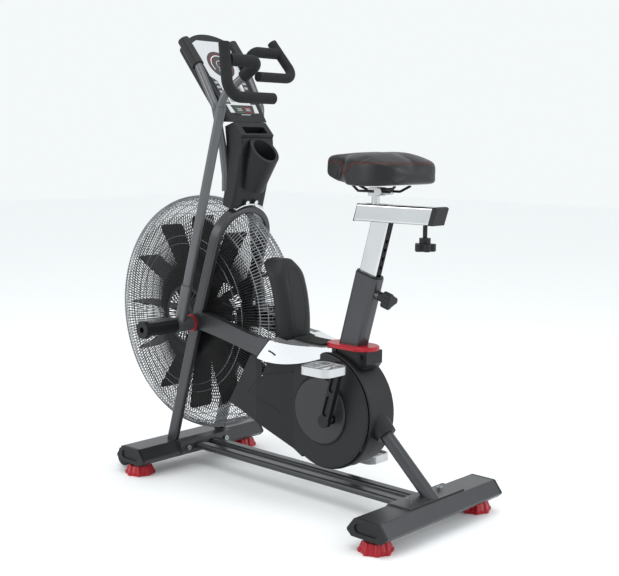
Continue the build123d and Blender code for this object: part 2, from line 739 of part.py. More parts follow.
with BuildPart() as crank_pulley:
    with BuildSketch(upright(BELT_Y + BELT_W / 2 + 1)):
        with Locations((CRANK_X, CRANK_Z)):
            Circle(CRANK_PULLEY_R)
            Circle(CRANK_AXLE_R, mode=Mode.SUBTRACT)
            with PolarLocations(CRANK_PULLEY_R * 0.58, 6):
                Circle(19, mode=Mode.SUBTRACT)
    extrude(amount=BELT_W + 2)
save(crank_pulley.part, "crank_pulley")

with BuildPart() as crank_axle:
    with BuildSketch(upright(HUB_FACE - 2)):
        with Locations((CRANK_X, CRANK_Z)):
            Circle(CRANK_AXLE_R)
    extrude(amount=2 * HUB_FACE - 4)
save(crank_axle.part, "crank_axle")

for side in (1, -1):
    bearing_places.append((CRANK_X, CRANK_Z, CRANK_AXLE_R + RUN, 22, side * 20, side * 33))
with BuildPart() as bearings:
    for x_mid, z_mid, bore, rim, y_a, y_b in bearing_places:
        with BuildSketch(upright(max(y_a, y_b))):
            with Locations((x_mid, z_mid)):
                Circle(rim)
                Circle(bore, mode=Mode.SUBTRACT)
        extrude(amount=abs(y_b - y_a))
save(bearings.part, "bearings")

# The belt is one closed band round both pulleys.
belt_span = hypot(FAN_X - CRANK_X, FAN_Z - CRANK_Z)
BELT_PLANE = Plane(
    origin=(CRANK_X, BELT_Y + BELT_W / 2, CRANK_Z),
    x_dir=(FAN_X - CRANK_X, 0, FAN_Z - CRANK_Z),
    z_dir=(0, -1, 0),
)


def belt_outline(extra):
    """Both pulleys' circles and the quadrilateral between their tangent points.

    Local x runs from the crank pulley's centre to the fan pulley's.
    """
    big, small = CRANK_PULLEY_R + extra, FAN_PULLEY_R + extra
    swing = atan2(big - small, sqrt(belt_span ** 2 - (big - small) ** 2))
    corners = []
    for lean in (pi / 2 - swing, -(pi / 2 - swing)):
        corners.append((big * cos(lean), big * sin(lean)))
        corners.append((belt_span + small * cos(lean), small * sin(lean)))
    with BuildSketch() as outline:
        Circle(big)
        with Locations((belt_span, 0)):
            Circle(small)
        with BuildLine():
            Polyline(corners[0], corners[1], corners[3], corners[2], close=True)
        make_face()
    return outline.sketch


BELT_OUTER = belt_outline(0.3 + BELT_T)
BELT_INNER = belt_outline(0.3)
with BuildPart() as belt:
    with BuildSketch(BELT_PLANE):
        add(BELT_OUTER)
        add(BELT_INNER, mode=Mode.SUBTRACT)
    extrude(amount=BELT_W)
save(belt.part, "drive_belt")


def crank_tip(side):
    """The pedal axle's place at the end of a crank."""
    lean = radians(CRANK_LEAN)
    return (CRANK_X - side * CRANK_LEN * sin(lean), CRANK_Z + side * CRANK_LEN * cos(lean))


for side in (1, -1):
    tip_x, tip_z = crank_tip(side)
    middle = ((CRANK_X + tip_x) / 2, (CRANK_Z + tip_z) / 2)
    arm_angle = degrees(atan2(tip_z - CRANK_Z, tip_x - CRANK_X))
    with BuildPart() as crank:
        with BuildSketch(slab(side, HUB_FACE - CRANK_T, HUB_FACE)):
            with Locations((CRANK_X, CRANK_Z)):
                Circle(19)
            with Locations((tip_x, tip_z)):
                Circle(14)
            with Locations(Location(middle, arm_angle)):
                Trapezoid(33, CRANK_LEN, 88.3, 91.7, rotation=-90)
        extrude(amount=CRANK_T)
        with BuildSketch(slab(side, HUB_FACE - 5, HUB_FACE)):
            with Locations(Location(middle, arm_angle)):
                with Locations((-38, 0), (36, 0)):
                    SlotOverall(62, 19)
        extrude(amount=5, mode=Mode.SUBTRACT)
        with BuildSketch(slab(side, HUB_FACE - CRANK_T, HUB_FACE - 2)):
            with Locations((CRANK_X, CRANK_Z)):
                Circle(CRANK_AXLE_R)
        extrude(amount=CRANK_T - 2, mode=Mode.SUBTRACT)
        with BuildSketch(slab(side, HUB_FACE, PEDAL_OUT - 6)):
            with Locations((tip_x, tip_z)):
                Circle(6)
        extrude(amount=PEDAL_OUT - 6 - HUB_FACE)
    save(crank.part, "crank_" + side_name(side))

    with BuildPart() as pedal:
        with BuildSketch(slab(side, PEDAL_IN, PEDAL_OUT - 12)):
            with Locations((tip_x, tip_z)):
                Circle(11)
        extrude(amount=PEDAL_OUT - 12 - PEDAL_IN)
        cage_mid = (PEDAL_IN + PEDAL_OUT) / 2
        with BuildSketch(Plane.XY.offset(tip_z - 11)):
            with Locations((tip_x, side * cage_mid)):
                RectangleRounded(104, PEDAL_OUT - PEDAL_IN, 26)
                RectangleRounded(94, PEDAL_OUT - PEDAL_IN - 10, 21, mode=Mode.SUBTRACT)
        extrude(amount=22)
        with BuildSketch(Plane.XY.offset(tip_z - 7)):
            with Locations((tip_x, side * cage_mid)):
                with Locations((0, 22), (0, -22)):
                    Rectangle(96, 5)
                Rectangle(5, PEDAL_OUT - PEDAL_IN - 8)
        extrude(amount=14)
        with BuildSketch(slab(side, PEDAL_IN, PEDAL_OUT - 2)):
            with Locations((tip_x, tip_z)):
                Circle(6 + RUN)
        extrude(amount=PEDAL_OUT - PEDAL_IN - 2, mode=Mode.SUBTRACT)
    save(pedal.part, "pedal_" + side_name(side))


# Drive shroud: a drum round the pulley that widens into a flange over the back of the cage.
def shroud_side(shrink):
    """Side view of the shroud."""
    with BuildSketch() as outline:
        with Locations((DRUM_X, DRUM_Z)):
            Circle(DRUM_R - shrink)
        with BuildLine():
            Polyline(
                (-6 - shrink, 407 - shrink),
                (86 - 1.2 * shrink, 253),
                (-16, 216 + shrink),
                (-184.5, 128.2 + shrink),
                (DRUM_X, DRUM_Z),
                (-224, 444 - shrink),
                close=True,
            )
        make_face()
    return outline.sketch


def shroud_plan(shrink):
    """Top view of the shroud."""
    with BuildSketch() as outline:
        with BuildLine():
            Polyline(
                (DRUM_X - 200, DRUM_Y - shrink),
                (-150, DRUM_Y - shrink),
                (-30, 92 - shrink),
                (120, 92 - shrink),
                (120, -92 + shrink),
                (-30, -92 + shrink),
                (-150, -DRUM_Y + shrink),
                (DRUM_X - 200, -DRUM_Y + shrink),
                close=True,
            )
        make_face()
    return outline.sketch


SHROUD_SIDE, SHROUD_SIDE_IN = shroud_side(0), shroud_side(3)
SHROUD_PLAN, SHROUD_PLAN_IN = shroud_plan(0), shroud_plan(3)
BOOT_PLANE = POST_AXIS.offset(spaced(POST_LOW, POST_HIGH) - 32)
DISC_X, DISC_Z, DISC_R = -254, 277, 95
CROSS_X, CROSS_Z = -100, 442           # hidden cross tube between the side arms

with BuildPart() as shroud_hollow:
    with BuildSketch(upright(92)):
        add(SHROUD_SIDE_IN)
    extrude(amount=184)
    with BuildSketch(Plane.XY):
        add(SHROUD_PLAN_IN)
    extrude(amount=500, mode=Mode.INTERSECT)

with BuildPart() as shroud_outer:
    with BuildSketch(upright(92)):
        add(SHROUD_SIDE)
    extrude(amount=184)
    with BuildSketch(Plane.XY):
        add(SHROUD_PLAN)
    extrude(amount=500, mode=Mode.INTERSECT)
    drum_rims = shroud_outer.edges().filter_by(GeomType.CIRCLE).filter_by(lambda e: e.radius > DRUM_R - 1)
    fillet(drum_rims, radius=14)

# The two halves meet at the middle plane and leave a way in for the belt.
with BuildPart() as half_shroud:
    add(shroud_outer.part)
    with BuildSketch(BOOT_PLANE):
        Circle(30)
    extrude(amount=92, taper=-6)
    add(shroud_hollow.part, mode=Mode.SUBTRACT)
    with BuildSketch(BOOT_PLANE):
        Circle(19.3)
    extrude(amount=150, mode=Mode.SUBTRACT)
    with BuildSketch(upright(87)):
        with Locations((FAN_X, FAN_Z)):
            Circle(CAGE_R + 2)
    extrude(amount=174, mode=Mode.SUBTRACT)
    with BuildSketch(upright(100)):
        with Locations((CRANK_X, CRANK_Z)):
            Circle(CRANK_AXLE_R + 4)
    extrude(amount=200, mode=Mode.SUBTRACT)
    with BuildSketch(Plane.XY.offset(360)):
        with Locations((-310, 0)):
            Rectangle(96, 60)
    extrude(amount=110, mode=Mode.SUBTRACT)
    with BuildSketch(upright(16)):
        with Locations((-100, 420)):
            Rectangle(32, 40)
    extrude(amount=32, mode=Mode.SUBTRACT)
    with BuildSketch(slab(-1, 0, 130)):
        with Locations((-200, 300)):
            Rectangle(800, 500)
    extrude(amount=130, mode=Mode.INTERSECT)
    with BuildSketch(upright(BELT_Y + BELT_WAY)):
        with Locations((-60, 410)):
            Rectangle(240, 60)
    extrude(amount=2 * BELT_WAY, mode=Mode.SUBTRACT)
right_half = half_shroud.part.solids().sort_by(SortBy.VOLUME)[-1]
save(mirror(right_half, about=Plane.XZ), "drive_shroud_left")
save(right_half, "drive_shroud_right")

with BuildPart() as disc_covers:
    for side in (1, -1):
        with BuildSketch(slab(side, DRUM_Y, DRUM_Y + 7)):
            with Locations((DISC_X, DISC_Z)):
                Circle(DISC_R)
            with Locations((CRANK_X, CRANK_Z)):
                Circle(CRANK_AXLE_R + 4, mode=Mode.SUBTRACT)
        extrude(amount=7)
    rims = disc_covers.edges().filter_by(GeomType.CIRCLE).filter_by(lambda e: e.radius > DISC_R - 1)
    chamfer(rims.group_by(Axis.Y)[0] + rims.group_by(Axis.Y)[-1], 3)
save(disc_covers.part, "disc_covers")


# Step-over cover: the bright shell between the side arms and the seat.
def step_side(drop, low):
    """Side view of the step-over cover."""
    with BuildSketch() as outline:
        with BuildLine():
            top = Spline((-90 - drop, 467 - drop), (-150, 458 - drop), (-215, 456 - drop), (-286 + drop, 458 - drop))
            bottom = Spline((-46 - drop, 412 - low), (-120, 399 - low), (-200, 408 - low), (-286 + drop, 440 - low))
            Line(top @ 0, bottom @ 0)
            Line(top @ 1, bottom @ 1)
        make_face()
    return outline.sketch


def step_plan(shrink):
    """Top view of the step-over cover."""
    with BuildSketch() as outline:
        with BuildLine():
            for side in (1, -1):
                Spline(
                    (-30, side * (117 - shrink)),
                    (-100, side * (110 - shrink)),
                    (-200, side * (76 - shrink)),
                    (-290, side * (48 - shrink)),
                )
            Line((-30, 117 - shrink), (-30, -117 + shrink))
            Line((-290, 48 - shrink), (-290, -48 + shrink))
        make_face()
    return outline.sketch


STEP_SIDE, STEP_SIDE_IN = step_side(0, 0), step_side(3.5, 30)
STEP_PLAN, STEP_PLAN_IN = step_plan(0), step_plan(3.5)
with BuildPart() as step_core:
    with BuildSketch(upright(120)):
        add(STEP_SIDE_IN)
    extrude(amount=240)
    with BuildSketch(Plane.XY):
        add(STEP_PLAN_IN)
    extrude(amount=500, mode=Mode.INTERSECT)

with BuildPart() as step_cover:
    with BuildSketch(upright(120)):
        add(STEP_SIDE)
    extrude(amount=240)
    with BuildSketch(Plane.XY):
        add(STEP_PLAN)
    extrude(amount=500, mode=Mode.INTERSECT)
    add(step_core.part, mode=Mode.SUBTRACT)
    add(shroud_outer.part, mode=Mode.SUBTRACT)
    with BuildSketch(upright(GUARD_Y + 1)):
        with Locations((-65, 430)):
            Rectangle(120, 120)
    extrude(amount=2 * GUARD_Y + 2, mode=Mode.SUBTRACT)
    with BuildSketch(upright(72)):
        with Locations((FAN_X, FAN_Z)):
            Circle(CAGE_R + 2)
    extrude(amount=144, mode=Mode.SUBTRACT)
    for side in (1, -1):
        with BuildSketch(slab(side, ARM_BOX_Y[0] - 8.5, ARM_BOX_Y[1] + 6)):
            with BuildLine():
                Polyline((-105, 480), (-104, 467), (-59, 410), (-59, 380), (0, 380), (0, 480), close=True)
            make_face()
        extrude(amount=ARM_BOX_Y[1] - ARM_BOX_Y[0] + 14.5, mode=Mode.SUBTRACT)
        with BuildSketch(slab(side, ARM_BOX_Y[0] - 8.5, ARM_BOX_Y[0] + 0.5)):
            with Locations((-75, CROSS_Z)):
                Rectangle(50, 19)
        extrude(amount=9, mode=Mode.SUBTRACT)
save(step_cover.part.solids().sort_by(SortBy.VOLUME)[-1], "step_cover")

with BuildPart() as step_pad:
    with BuildSketch(upright(34)):
        with BuildLine():
            pad_low = Spline((-128, 461.5), (-160, 457.8), (-205, 456.4), (-238, 456.6))
            pad_high = Spline((-128, 467.5), (-160, 464), (-205, 462.6), (-238, 462.6))
            Line(pad_low @ 0, pad_high @ 0)
            Line(pad_low @ 1, pad_high @ 1)
        make_face()
    extrude(amount=68)
    with BuildSketch(upright(40)):
        with Locations(*[(-150 - 13 * number, 464.5) for number in range(6)]):
            Rectangle(3.5, 5)
    extrude(amount=80, mode=Mode.SUBTRACT)
save(step_pad.part, "step_pad")

# Hidden drive frame: bottom-bracket shell, seat upright, the tie to the rear post and the
# bar and cross tube that join it to the side arms.
BLOCK_TOP = 459
with BuildPart() as drive_frame:
    with BuildSketch(upright(34)):
        with Locations((CRANK_X, CRANK_Z)):
            Circle(28)
    extrude(amount=68)
    with BuildSketch(upright(26)):
        with BuildLine():
            Polyline((-326, 255), (-280, 262), (-304, BLOCK_TOP), (-354, BLOCK_TOP), close=True)
        make_face()
        with BuildLine():
            Polyline((-300, 236), (-398, 230), (-422, 262), (-300, 284), close=True)
        make_face()
        with BuildLine():
            Polyline((-326, 372), (-90, 372), (-90, 400), (-326, 400), close=True)
        make_face()
    extrude(amount=52)
    with BuildSketch(upright(14)):
        with BuildLine():
            Polyline((-110, 380), (-90, 380), (-92, CROSS_Z), (-108, CROSS_Z), close=True)
        make_face()
    extrude(amount=28)
    with BuildSketch(upright(ARM_BOX_Y[0] - 1)):
        with Locations((CROSS_X, CROSS_Z)):
            Circle(9)
    extrude(amount=2 * ARM_BOX_Y[0] - 2)
    for side in (1, -1):
        with BuildSketch(slab(side, ARM_BOX_Y[0] - 8, ARM_BOX_Y[0])):
            with Locations((-85, CROSS_Z)):
                Rectangle(46, 18)
        extrude(amount=8)
    with BuildSketch(upright(34)):
        with BuildLine():
            Polyline((-293, BLOCK_TOP), (-400, BLOCK_TOP), (-400, 424), (-388, 408), (-293, 408), close=True)
        make_face()
        with Locations((DRUM_X, DRUM_Z)):
            Circle(DRUM_R + 0.6, mode=Mode.SUBTRACT)
    extrude(amount=68)
    with BuildSketch(upright(26)):
        with BuildLine():
            Polyline((-304, 380), (-304, BLOCK_TOP - 1), (-354, BLOCK_TOP - 1), (-345, 380), close=True)
        make_face()
    extrude(amount=52)
    for side in (1, -1):
        with BuildSketch(slab(side, 20, 33)):
            with Locations((CRANK_X, CRANK_Z)):
                Circle(22)
        extrude(amount=13, mode=Mode.SUBTRACT)
    with BuildSketch(upright(40)):
        with Locations((CRANK_X, CRANK_Z)):
            Circle(CRANK_AXLE_R + 3)
    extrude(amount=80, mode=Mode.SUBTRACT)
    with BuildSketch(POST_AXIS.offset(-20)):
        Circle(19)
    extrude(amount=20 + spaced(POST_LOW, POST_HIGH), mode=Mode.SUBTRACT)
    for side in (1, -1):
        with BuildSketch(slab(side, 34, 39)):
            with Locations((-377, 443)):
                RegularPolygon(7.5, 6)
        extrude(amount=5)
save(drive_frame.part.solids().sort_by(SortBy.VOLUME)[-1], "drive_frame")

# ---------------------------------------------------------------- seat
seat_lean = radians(SEAT_LEAN)
UP_X, UP_Z = -sin(seat_lean), cos(seat_lean)       # direction of the seat tube's axis


def seat_point(run, back=0.0):
    """A point on the seat tube's axis, run above its foot and back behind it."""
    return (SEAT_FOOT_X + UP_X * run - UP_Z * back, 0, SEAT_FOOT_Z + UP_Z * run + UP_X * back)


def seat_plane(run):
    """A plane across the seat tube: local x is its length across, local y is +Y."""
    return Plane(origin=seat_point(run), x_dir=(UP_Z, 0, -UP_X), z_dir=(UP_X, 0, UP_Z))


TUBE_L, TUBE_S, TUBE_ROUND = 80, 44, 14
SLEEVE_GAP = 0.15
KNOB_RUN = 177.8
POST_HIDDEN = 160                      # how much of the post is inside its tube at rest
KNOB_LOBE = 11

with BuildPart() as seat_tube:
    with BuildSketch(seat_plane(-30)):
        RectangleRounded(TUBE_L, TUBE_S, TUBE_ROUND)
    extrude(amount=30 + SEAT_TUBE_LEN)
    with BuildSketch(seat_plane(-30)):
        RectangleRounded(TUBE_L - 2 * WALL, TUBE_S - 2 * WALL, TUBE_ROUND - WALL)
    extrude(amount=30 + SEAT_TUBE_LEN, mode=Mode.SUBTRACT)
    with BuildSketch(Plane.XY.offset(BLOCK_TOP)):
        with Locations((SEAT_FOOT_X, 0)):
            Rectangle(200, 100)
    extrude(amount=-80, mode=Mode.SUBTRACT)
    with BuildSketch(Plane(origin=seat_point(KNOB_RUN, 38.5), z_dir=(-UP_Z, 0, UP_X))):
        Circle(13)
    extrude(amount=13)
    with BuildSketch(Plane(origin=seat_point(KNOB_RUN, 30), z_dir=(-UP_Z, 0, UP_X))):
        Circle(5.3)
    extrude(amount=30, mode=Mode.SUBTRACT)
save(seat_tube.part, "seat_tube")

with BuildPart() as seat_sleeve:
    with BuildSketch(seat_plane(SEAT_TUBE_LEN - 150)):
        RectangleRounded(TUBE_L - 2 * WALL, TUBE_S - 2 * WALL, TUBE_ROUND - WALL)
    extrude(amount=150)
    with BuildSketch(seat_plane(SEAT_TUBE_LEN)):
        RectangleRounded(TUBE_L - 4, TUBE_S - 4, TUBE_ROUND - 2)
    extrude(amount=5)
    with BuildSketch(seat_plane(SEAT_TUBE_LEN - 150)):
        RectangleRounded(POST_L + 2 * SLEEVE_GAP, POST_W + 2 * SLEEVE_GAP, 5)
    extrude(amount=155, mode=Mode.SUBTRACT)
    with BuildSketch(Plane(origin=seat_point(KNOB_RUN, 28), z_dir=(-UP_Z, 0, UP_X))):
        Circle(5.3)
    extrude(amount=14, mode=Mode.SUBTRACT)
save(seat_sleeve.part, "seat_tube_sleeve")

with BuildPart() as seat_collar:
    with BuildSketch(Plane.XY.offset(BLOCK_TOP)):
        with Locations((-323, 0)):
            SlotOverall(163, 92)
    extrude(amount=11)
    chamfer(seat_collar.faces().sort_by(Axis.Z)[-1].edges(), 3)
    with BuildSketch(seat_plane(-30)):
        RectangleRounded(TUBE_L + 0.4, TUBE_S + 0.4, TUBE_ROUND)
    extrude(amount=80, mode=Mode.SUBTRACT)
save(seat_collar.part, "seat_collar")

with BuildPart() as post_knob:
    with BuildSketch(Plane(origin=seat_point(KNOB_RUN, 31), z_dir=(-UP_Z, 0, UP_X))):
        Circle(5)
    extrude(amount=30)
    with BuildSketch(Plane(origin=seat_point(KNOB_RUN, 52.5), z_dir=(-UP_Z, 0, UP_X))):
        Circle(13)
    extrude(amount=18)
    with BuildSketch(Plane(origin=seat_point(KNOB_RUN, 70), z_dir=(-UP_Z, 0, UP_X))):
        Circle(17)
        with PolarLocations(14, 3, start_angle=90):
            Circle(KNOB_LOBE)
    extrude(amount=25)
    chamfer(post_knob.faces().sort_by(Axis.X)[0].edges(), 2.5)
save(post_knob.part, "post_pull_knob")

POST_LEN = POST_HIDDEN + (BEAM_Z - SEAT_FOOT_Z) / UP_Z - SEAT_TUBE_LEN + 20
with BuildPart() as seat_post:
    with BuildSketch(seat_plane(SEAT_TUBE_LEN - POST_HIDDEN)):
        RectangleRounded(POST_L, POST_W, 5)
    extrude(amount=POST_LEN)
    with BuildSketch(seat_plane(SEAT_TUBE_LEN - POST_HIDDEN)):
        RectangleRounded(POST_L - 2 * WALL, POST_W - 2 * WALL, 2.5)
    extrude(amount=POST_LEN, mode=Mode.SUBTRACT)
    for hole in range(9):
        with BuildSketch(Plane(origin=seat_point(KNOB_RUN - 50 + 25 * hole, 20), z_dir=(-UP_Z, 0, UP_X))):
            Circle(5.2)
        extrude(amount=14, mode=Mode.SUBTRACT)
    with BuildSketch(Plane.XY.offset(BEAM_Z)):
        with Locations((-410, 0)):
            Rectangle(200, 100)
    extrude(amount=80, mode=Mode.SUBTRACT)
save(seat_post.part, "seat_post")

# Saddle beam: a slanted-ended box tube whose top slot lets the saddle's stem slide.
BEAM_FRONT, BEAM_REAR, BEAM_SLANT = -340, -590, -14
BEAM_WALL = 3
STEM_X = -396
SLIDER_FRONT, SLIDER_REAR = -383, -571
KNOB_X = -564
SLIDE_FRONT, SLIDE_REAR = 20, 15       # travel of the saddle forwards and backwards
with BuildPart() as beam:
    with BuildSketch(upright(BEAM_W / 2)):
        with BuildLine():
            Polyline(
                (BEAM_FRONT, BEAM_Z),
                (BEAM_REAR, BEAM_Z),
                (BEAM_REAR + BEAM_SLANT, BEAM_Z + BEAM_H),
                (BEAM_FRONT + BEAM_SLANT, BEAM_Z + BEAM_H),
                close=True,
            )
        make_face()
    extrude(amount=BEAM_W)
    fillet(beam.edges().filter_by(Axis.X), radius=6)
    with BuildSketch(Plane.YZ.offset(BEAM_REAR - 40)):
        with Locations((0, BEAM_Z + BEAM_H / 2)):
            RectangleRounded(BEAM_W - 2 * BEAM_WALL, BEAM_H - 2 * BEAM_WALL, 3)
    extrude(amount=400, mode=Mode.SUBTRACT)
    with BuildSketch(Plane.XY.offset(BEAM_Z + BEAM_H - BEAM_WALL - 1)):
        with Locations((-408, 0)):
            SlotOverall(92, 25)
    extrude(amount=BEAM_WALL + 2, mode=Mode.SUBTRACT)
    with BuildSketch(Plane.XY.offset(BEAM_Z - 1)):
        with Locations((KNOB_X + (SLIDE_FRONT - SLIDE_REAR) / 2, 0)):
            SlotOverall(SLIDE_FRONT + SLIDE_REAR + 14, 14)
    extrude(amount=BEAM_WALL + 2, mode=Mode.SUBTRACT)
save(beam.part, "saddle_beam")

with BuildPart() as beam_caps:
    for end_x, thick, plug in ((BEAM_REAR, -16, 3), (BEAM_FRONT, 3, -6)):
        with BuildSketch(upright(BEAM_W / 2)):
            with BuildLine():
                Polyline(
                    (end_x, BEAM_Z),
                    (end_x + thick, BEAM_Z),
                    (end_x + thick + BEAM_SLANT, BEAM_Z + BEAM_H - 4),
                    (end_x + thick * 0.7 + BEAM_SLANT, BEAM_Z + BEAM_H),
                    (end_x + BEAM_SLANT, BEAM_Z + BEAM_H),
                    close=True,
                )
            make_face()
        extrude(amount=BEAM_W)
        with BuildSketch(upright(BEAM_W / 2 - BEAM_WALL - 1)):
            with BuildLine():
                Polyline(
                    (end_x - 1, BEAM_Z + BEAM_WALL + 1),
                    (end_x - 1 + plug, BEAM_Z + BEAM_WALL + 1),
                    (end_x - 1 + plug + BEAM_SLANT * 0.84, BEAM_Z + BEAM_H - BEAM_WALL - 1),
                    (end_x - 1 + BEAM_SLANT * 0.84, BEAM_Z + BEAM_H - BEAM_WALL - 1),
                    close=True,
                )
            make_face()
        extrude(amount=BEAM_W - 2 * BEAM_WALL - 2)
save(beam_caps.part, "beam_end_caps")

SLIDE_GAP = 0.3
with BuildPart() as slider:
    with BuildSketch(Plane.YZ.offset(SLIDER_REAR)):
        with Locations((0, BEAM_Z + BEAM_H / 2)):
            RectangleRounded(
                BEAM_W - 2 * BEAM_WALL - 2 * SLIDE_GAP,
                BEAM_H - 2 * BEAM_WALL - 2 * SLIDE_GAP,
                3,
            )
    extrude(amount=SLIDER_FRONT - SLIDER_REAR)
    with BuildSketch(Plane.XY.offset(BEAM_Z + BEAM_H - 10)):
        with Locations((STEM_X, 0)):
            Circle(11)
    extrude(amount=32)
save(slider.part, "beam_slider")

with BuildPart() as beam_knob:
    with BuildSketch(Plane.XY.offset(778)):
        with Locations((KNOB_X, 0)):
            Circle(6)
    extrude(amount=BEAM_Z + BEAM_WALL - 778)
    with BuildSketch(Plane.XY.offset(766)):
        with Locations((KNOB_X, 0)):
            Circle(15)
    extrude(amount=15)
    with BuildSketch(Plane.XY.offset(746)):
        with Locations((KNOB_X, 0)):
            Circle(20)
            with PolarLocations(19, 5):
                Circle(10)
    extrude(amount=20)
    chamfer(beam_knob.faces().sort_by(Axis.Z)[0].edges(), 2)
save(beam_knob.part, "beam_clamp_knob")

RAIL_GAP = 22                          # half the distance between the saddle's two rails
with BuildPart() as saddle_clamp:
    with BuildSketch(upright(19)):
        with Locations((STEM_X - 4, 896)):
            RectangleRounded(32, 23, 2)
    extrude(amount=38)
    with BuildSketch(upright(28)):
        with Locations((STEM_X - 32, 897)):
            Circle(9.5)
        with Locations((STEM_X - 24, 897)):
            Rectangle(14, 12)
    extrude(amount=56)
    with BuildSketch(Plane.XY.offset(880)):
        with Locations((STEM_X, 0)):
            Circle(11)
    extrude(amount=6, mode=Mode.SUBTRACT)
    for side in (1, -1):
        with BuildSketch(Plane.YZ.offset(STEM_X - 60)):
            with Locations((side * RAIL_GAP, 897)):
                Circle(3.6)
        extrude(amount=90, mode=Mode.SUBTRACT)
save(saddle_clamp.part, "saddle_clamp")

with BuildPart() as rails_of_saddle:
    for side in (1, -1):
        rail_bar = round_bar(
            [
                (STEM_X + 76, side * 10, 913),
                (STEM_X + 44, side * RAIL_GAP, 897),
                (STEM_X - 66, side * RAIL_GAP, 897),
                (STEM_X - 92, side * 34, 913),
            ],
            12, 3.5,
        )
        add(rail_bar)
with BuildPart() as saddle_rails:
    add(rails_of_saddle.part)
    with BuildSketch(Plane.XY.offset(SADDLE_BOTTOM - 0.3)):
        with Locations((STEM_X, 0)):
            Rectangle(300, 120)
    extrude(amount=20, mode=Mode.SUBTRACT)
save(saddle_rails.part, "saddle_rails")

SADDLE_EDGE = [(-234, 22), (-262, 37), (-325, 58), (-372, 100), (-438, 125), (-505, 113), (-534, 66)]
with BuildPart() as saddle:
    with BuildSketch(Plane.XY.offset(SADDLE_BOTTOM)):
        with BuildLine():
            for side in (1, -1):
                Spline(*[(edge_x, side * edge_y) for edge_x, edge_y in SADDLE_EDGE])
            Line((SADDLE_EDGE[0][0], SADDLE_EDGE[0][1]), (SADDLE_EDGE[0][0], -SADDLE_EDGE[0][1]))
            Line((SADDLE_EDGE[-1][0], SADDLE_EDGE[-1][1]), (SADDLE_EDGE[-1][0], -SADDLE_EDGE[-1][1]))
        make_face()
    extrude(amount=SADDLE_TOP - SADDLE_BOTTOM)
    with BuildSketch(upright(130)):
        with BuildLine():
            saddle_top = Spline((-220, 990), (-280, 993), (-380, 998), (-470, 1000), (-540, 992))
            saddle_low = Spline((-220, 930), (-280, 921), (-380, 914.5), (-470, 914), (-540, 918))
            Line(saddle_top @ 0, saddle_low @ 0)
            Line(saddle_top @ 1, saddle_low @ 1)
        make_face()
    extrude(amount=260, mode=Mode.INTERSECT)
    fillet(saddle.edges().filter_by(Axis.Z), radius=18)
    fillet(saddle.faces().sort_by(Axis.Z)[-1].edges(), radius=13)
save(saddle.part, "saddle")

# ---------------------------------------------------------------- mast and console
arch_centre = arch_point(0, arch_shoulder)
ARCH_FACE = Plane(origin=arch_centre, x_dir=(0, 1, 0), z_dir=Vector(1, 0, ARCH_LEAN))
ARCH_OUT = ARCH_MID_R + TUBE_T / 2
BRACKET_T = 4

with BuildPart() as mast_bracket:
    with BuildSketch(ARCH_FACE.offset(-15)):
        Circle(ARCH_OUT + BRACKET_T)
        Circle(ARCH_OUT + 0.3, mode=Mode.SUBTRACT)
        with Locations((0, ARCH_OUT), (0, -ARCH_OUT)):
            Rectangle(112, 60, mode=Mode.INTERSECT)
    extrude(amount=30)
    for bolt_y in (-18, 18):
        bolt_sweep = degrees(atan2(bolt_y, ARCH_OUT))
        with BuildSketch(ARCH_FACE.offset(-17)):
            with Locations((bolt_y, -cos(radians(bolt_sweep)) * ARCH_OUT - 9), (bolt_y, cos(radians(bolt_sweep)) * ARCH_OUT + 9)):
                Circle(7)
        extrude(amount=8)
bracket_top = mast_bracket.part.solids().sort_by(Axis.Z)[-1]
save(bracket_top, "mast_bracket")

TUBE_OUT = 12
tube_paths = {}
for side in (1, -1):
    tube_paths[side] = [
        (134, side * 59, 880),
        (132, side * 60, 925),
        (128, side * 75, 1004),
        (141, side * 93, 1129),
        (212, side * 96, 1250),
        (268, side * 97, 1316),
    ]
console_tubes = [round_bar(tube_paths[side], 30, TUBE_OUT, TUBE_OUT - 2) for side in (1, -1)]
tube_ways = [round_bar(tube_paths[side], 30, TUBE_OUT + 0.3) for side in (1, -1)]
save_group(console_tubes, "console_tubes")

CUP_X, CUP_Z = 28, 1002                # centre of the cup's opening
CUP_R = 37.5
CUP_DEPTH = 104
CUP_AXIS = Plane(origin=(CUP_X, 0, CUP_Z), x_dir=(0, 1, 0), z_dir=(64, 0, -122))
CUP_LIP = Plane(origin=(CUP_X, 0, CUP_Z), x_dir=(0, 1, 0), z_dir=(-75, 0, 67))
SEAM_X, SEAM_Z = 92, 1083
FACE_RUN_X, FACE_RUN_Z = 183, 249
SLOT_PLANE = Plane(origin=(71, 0, 1059.5), x_dir=(0, 1, 0), z_dir=(21, 0, -20))


def mast_side(shrink):
    """Side view of the mast shroud."""
    with BuildSketch() as outline:
        with BuildLine():
            Polyline(
                (108 + shrink, 790),
                (98 + shrink, 830),
                (73 + shrink, 920),
                (58 + shrink, 1000),
                (57 + shrink, 1046),
                (SEAM_X + shrink * 0.3, SEAM_Z - shrink),
                (SEAM_X + 42 - shrink, SEAM_Z - 14 - shrink),
                (126 - shrink, 1000),
                (128 - shrink, 920),
                (158 - shrink, 790),
                close=True,
            )
        make_face()
    return outline.sketch


MAST_SIDE, MAST_SIDE_IN = mast_side(0), mast_side(3)
with BuildPart() as mast_inside:
    with BuildSketch(upright(MAST_W / 2 - 3)):
        add(MAST_SIDE_IN)
    extrude(amount=MAST_W - 6)
    with BuildSketch(CUP_AXIS.offset(-60)):
        Circle(CUP_R + 7)
    extrude(amount=CUP_DEPTH + 60 + 4, mode=Mode.SUBTRACT)
    with BuildSketch(SLOT_PLANE):
        Rectangle(98, 38)
    extrude(amount=32, both=True, mode=Mode.SUBTRACT)

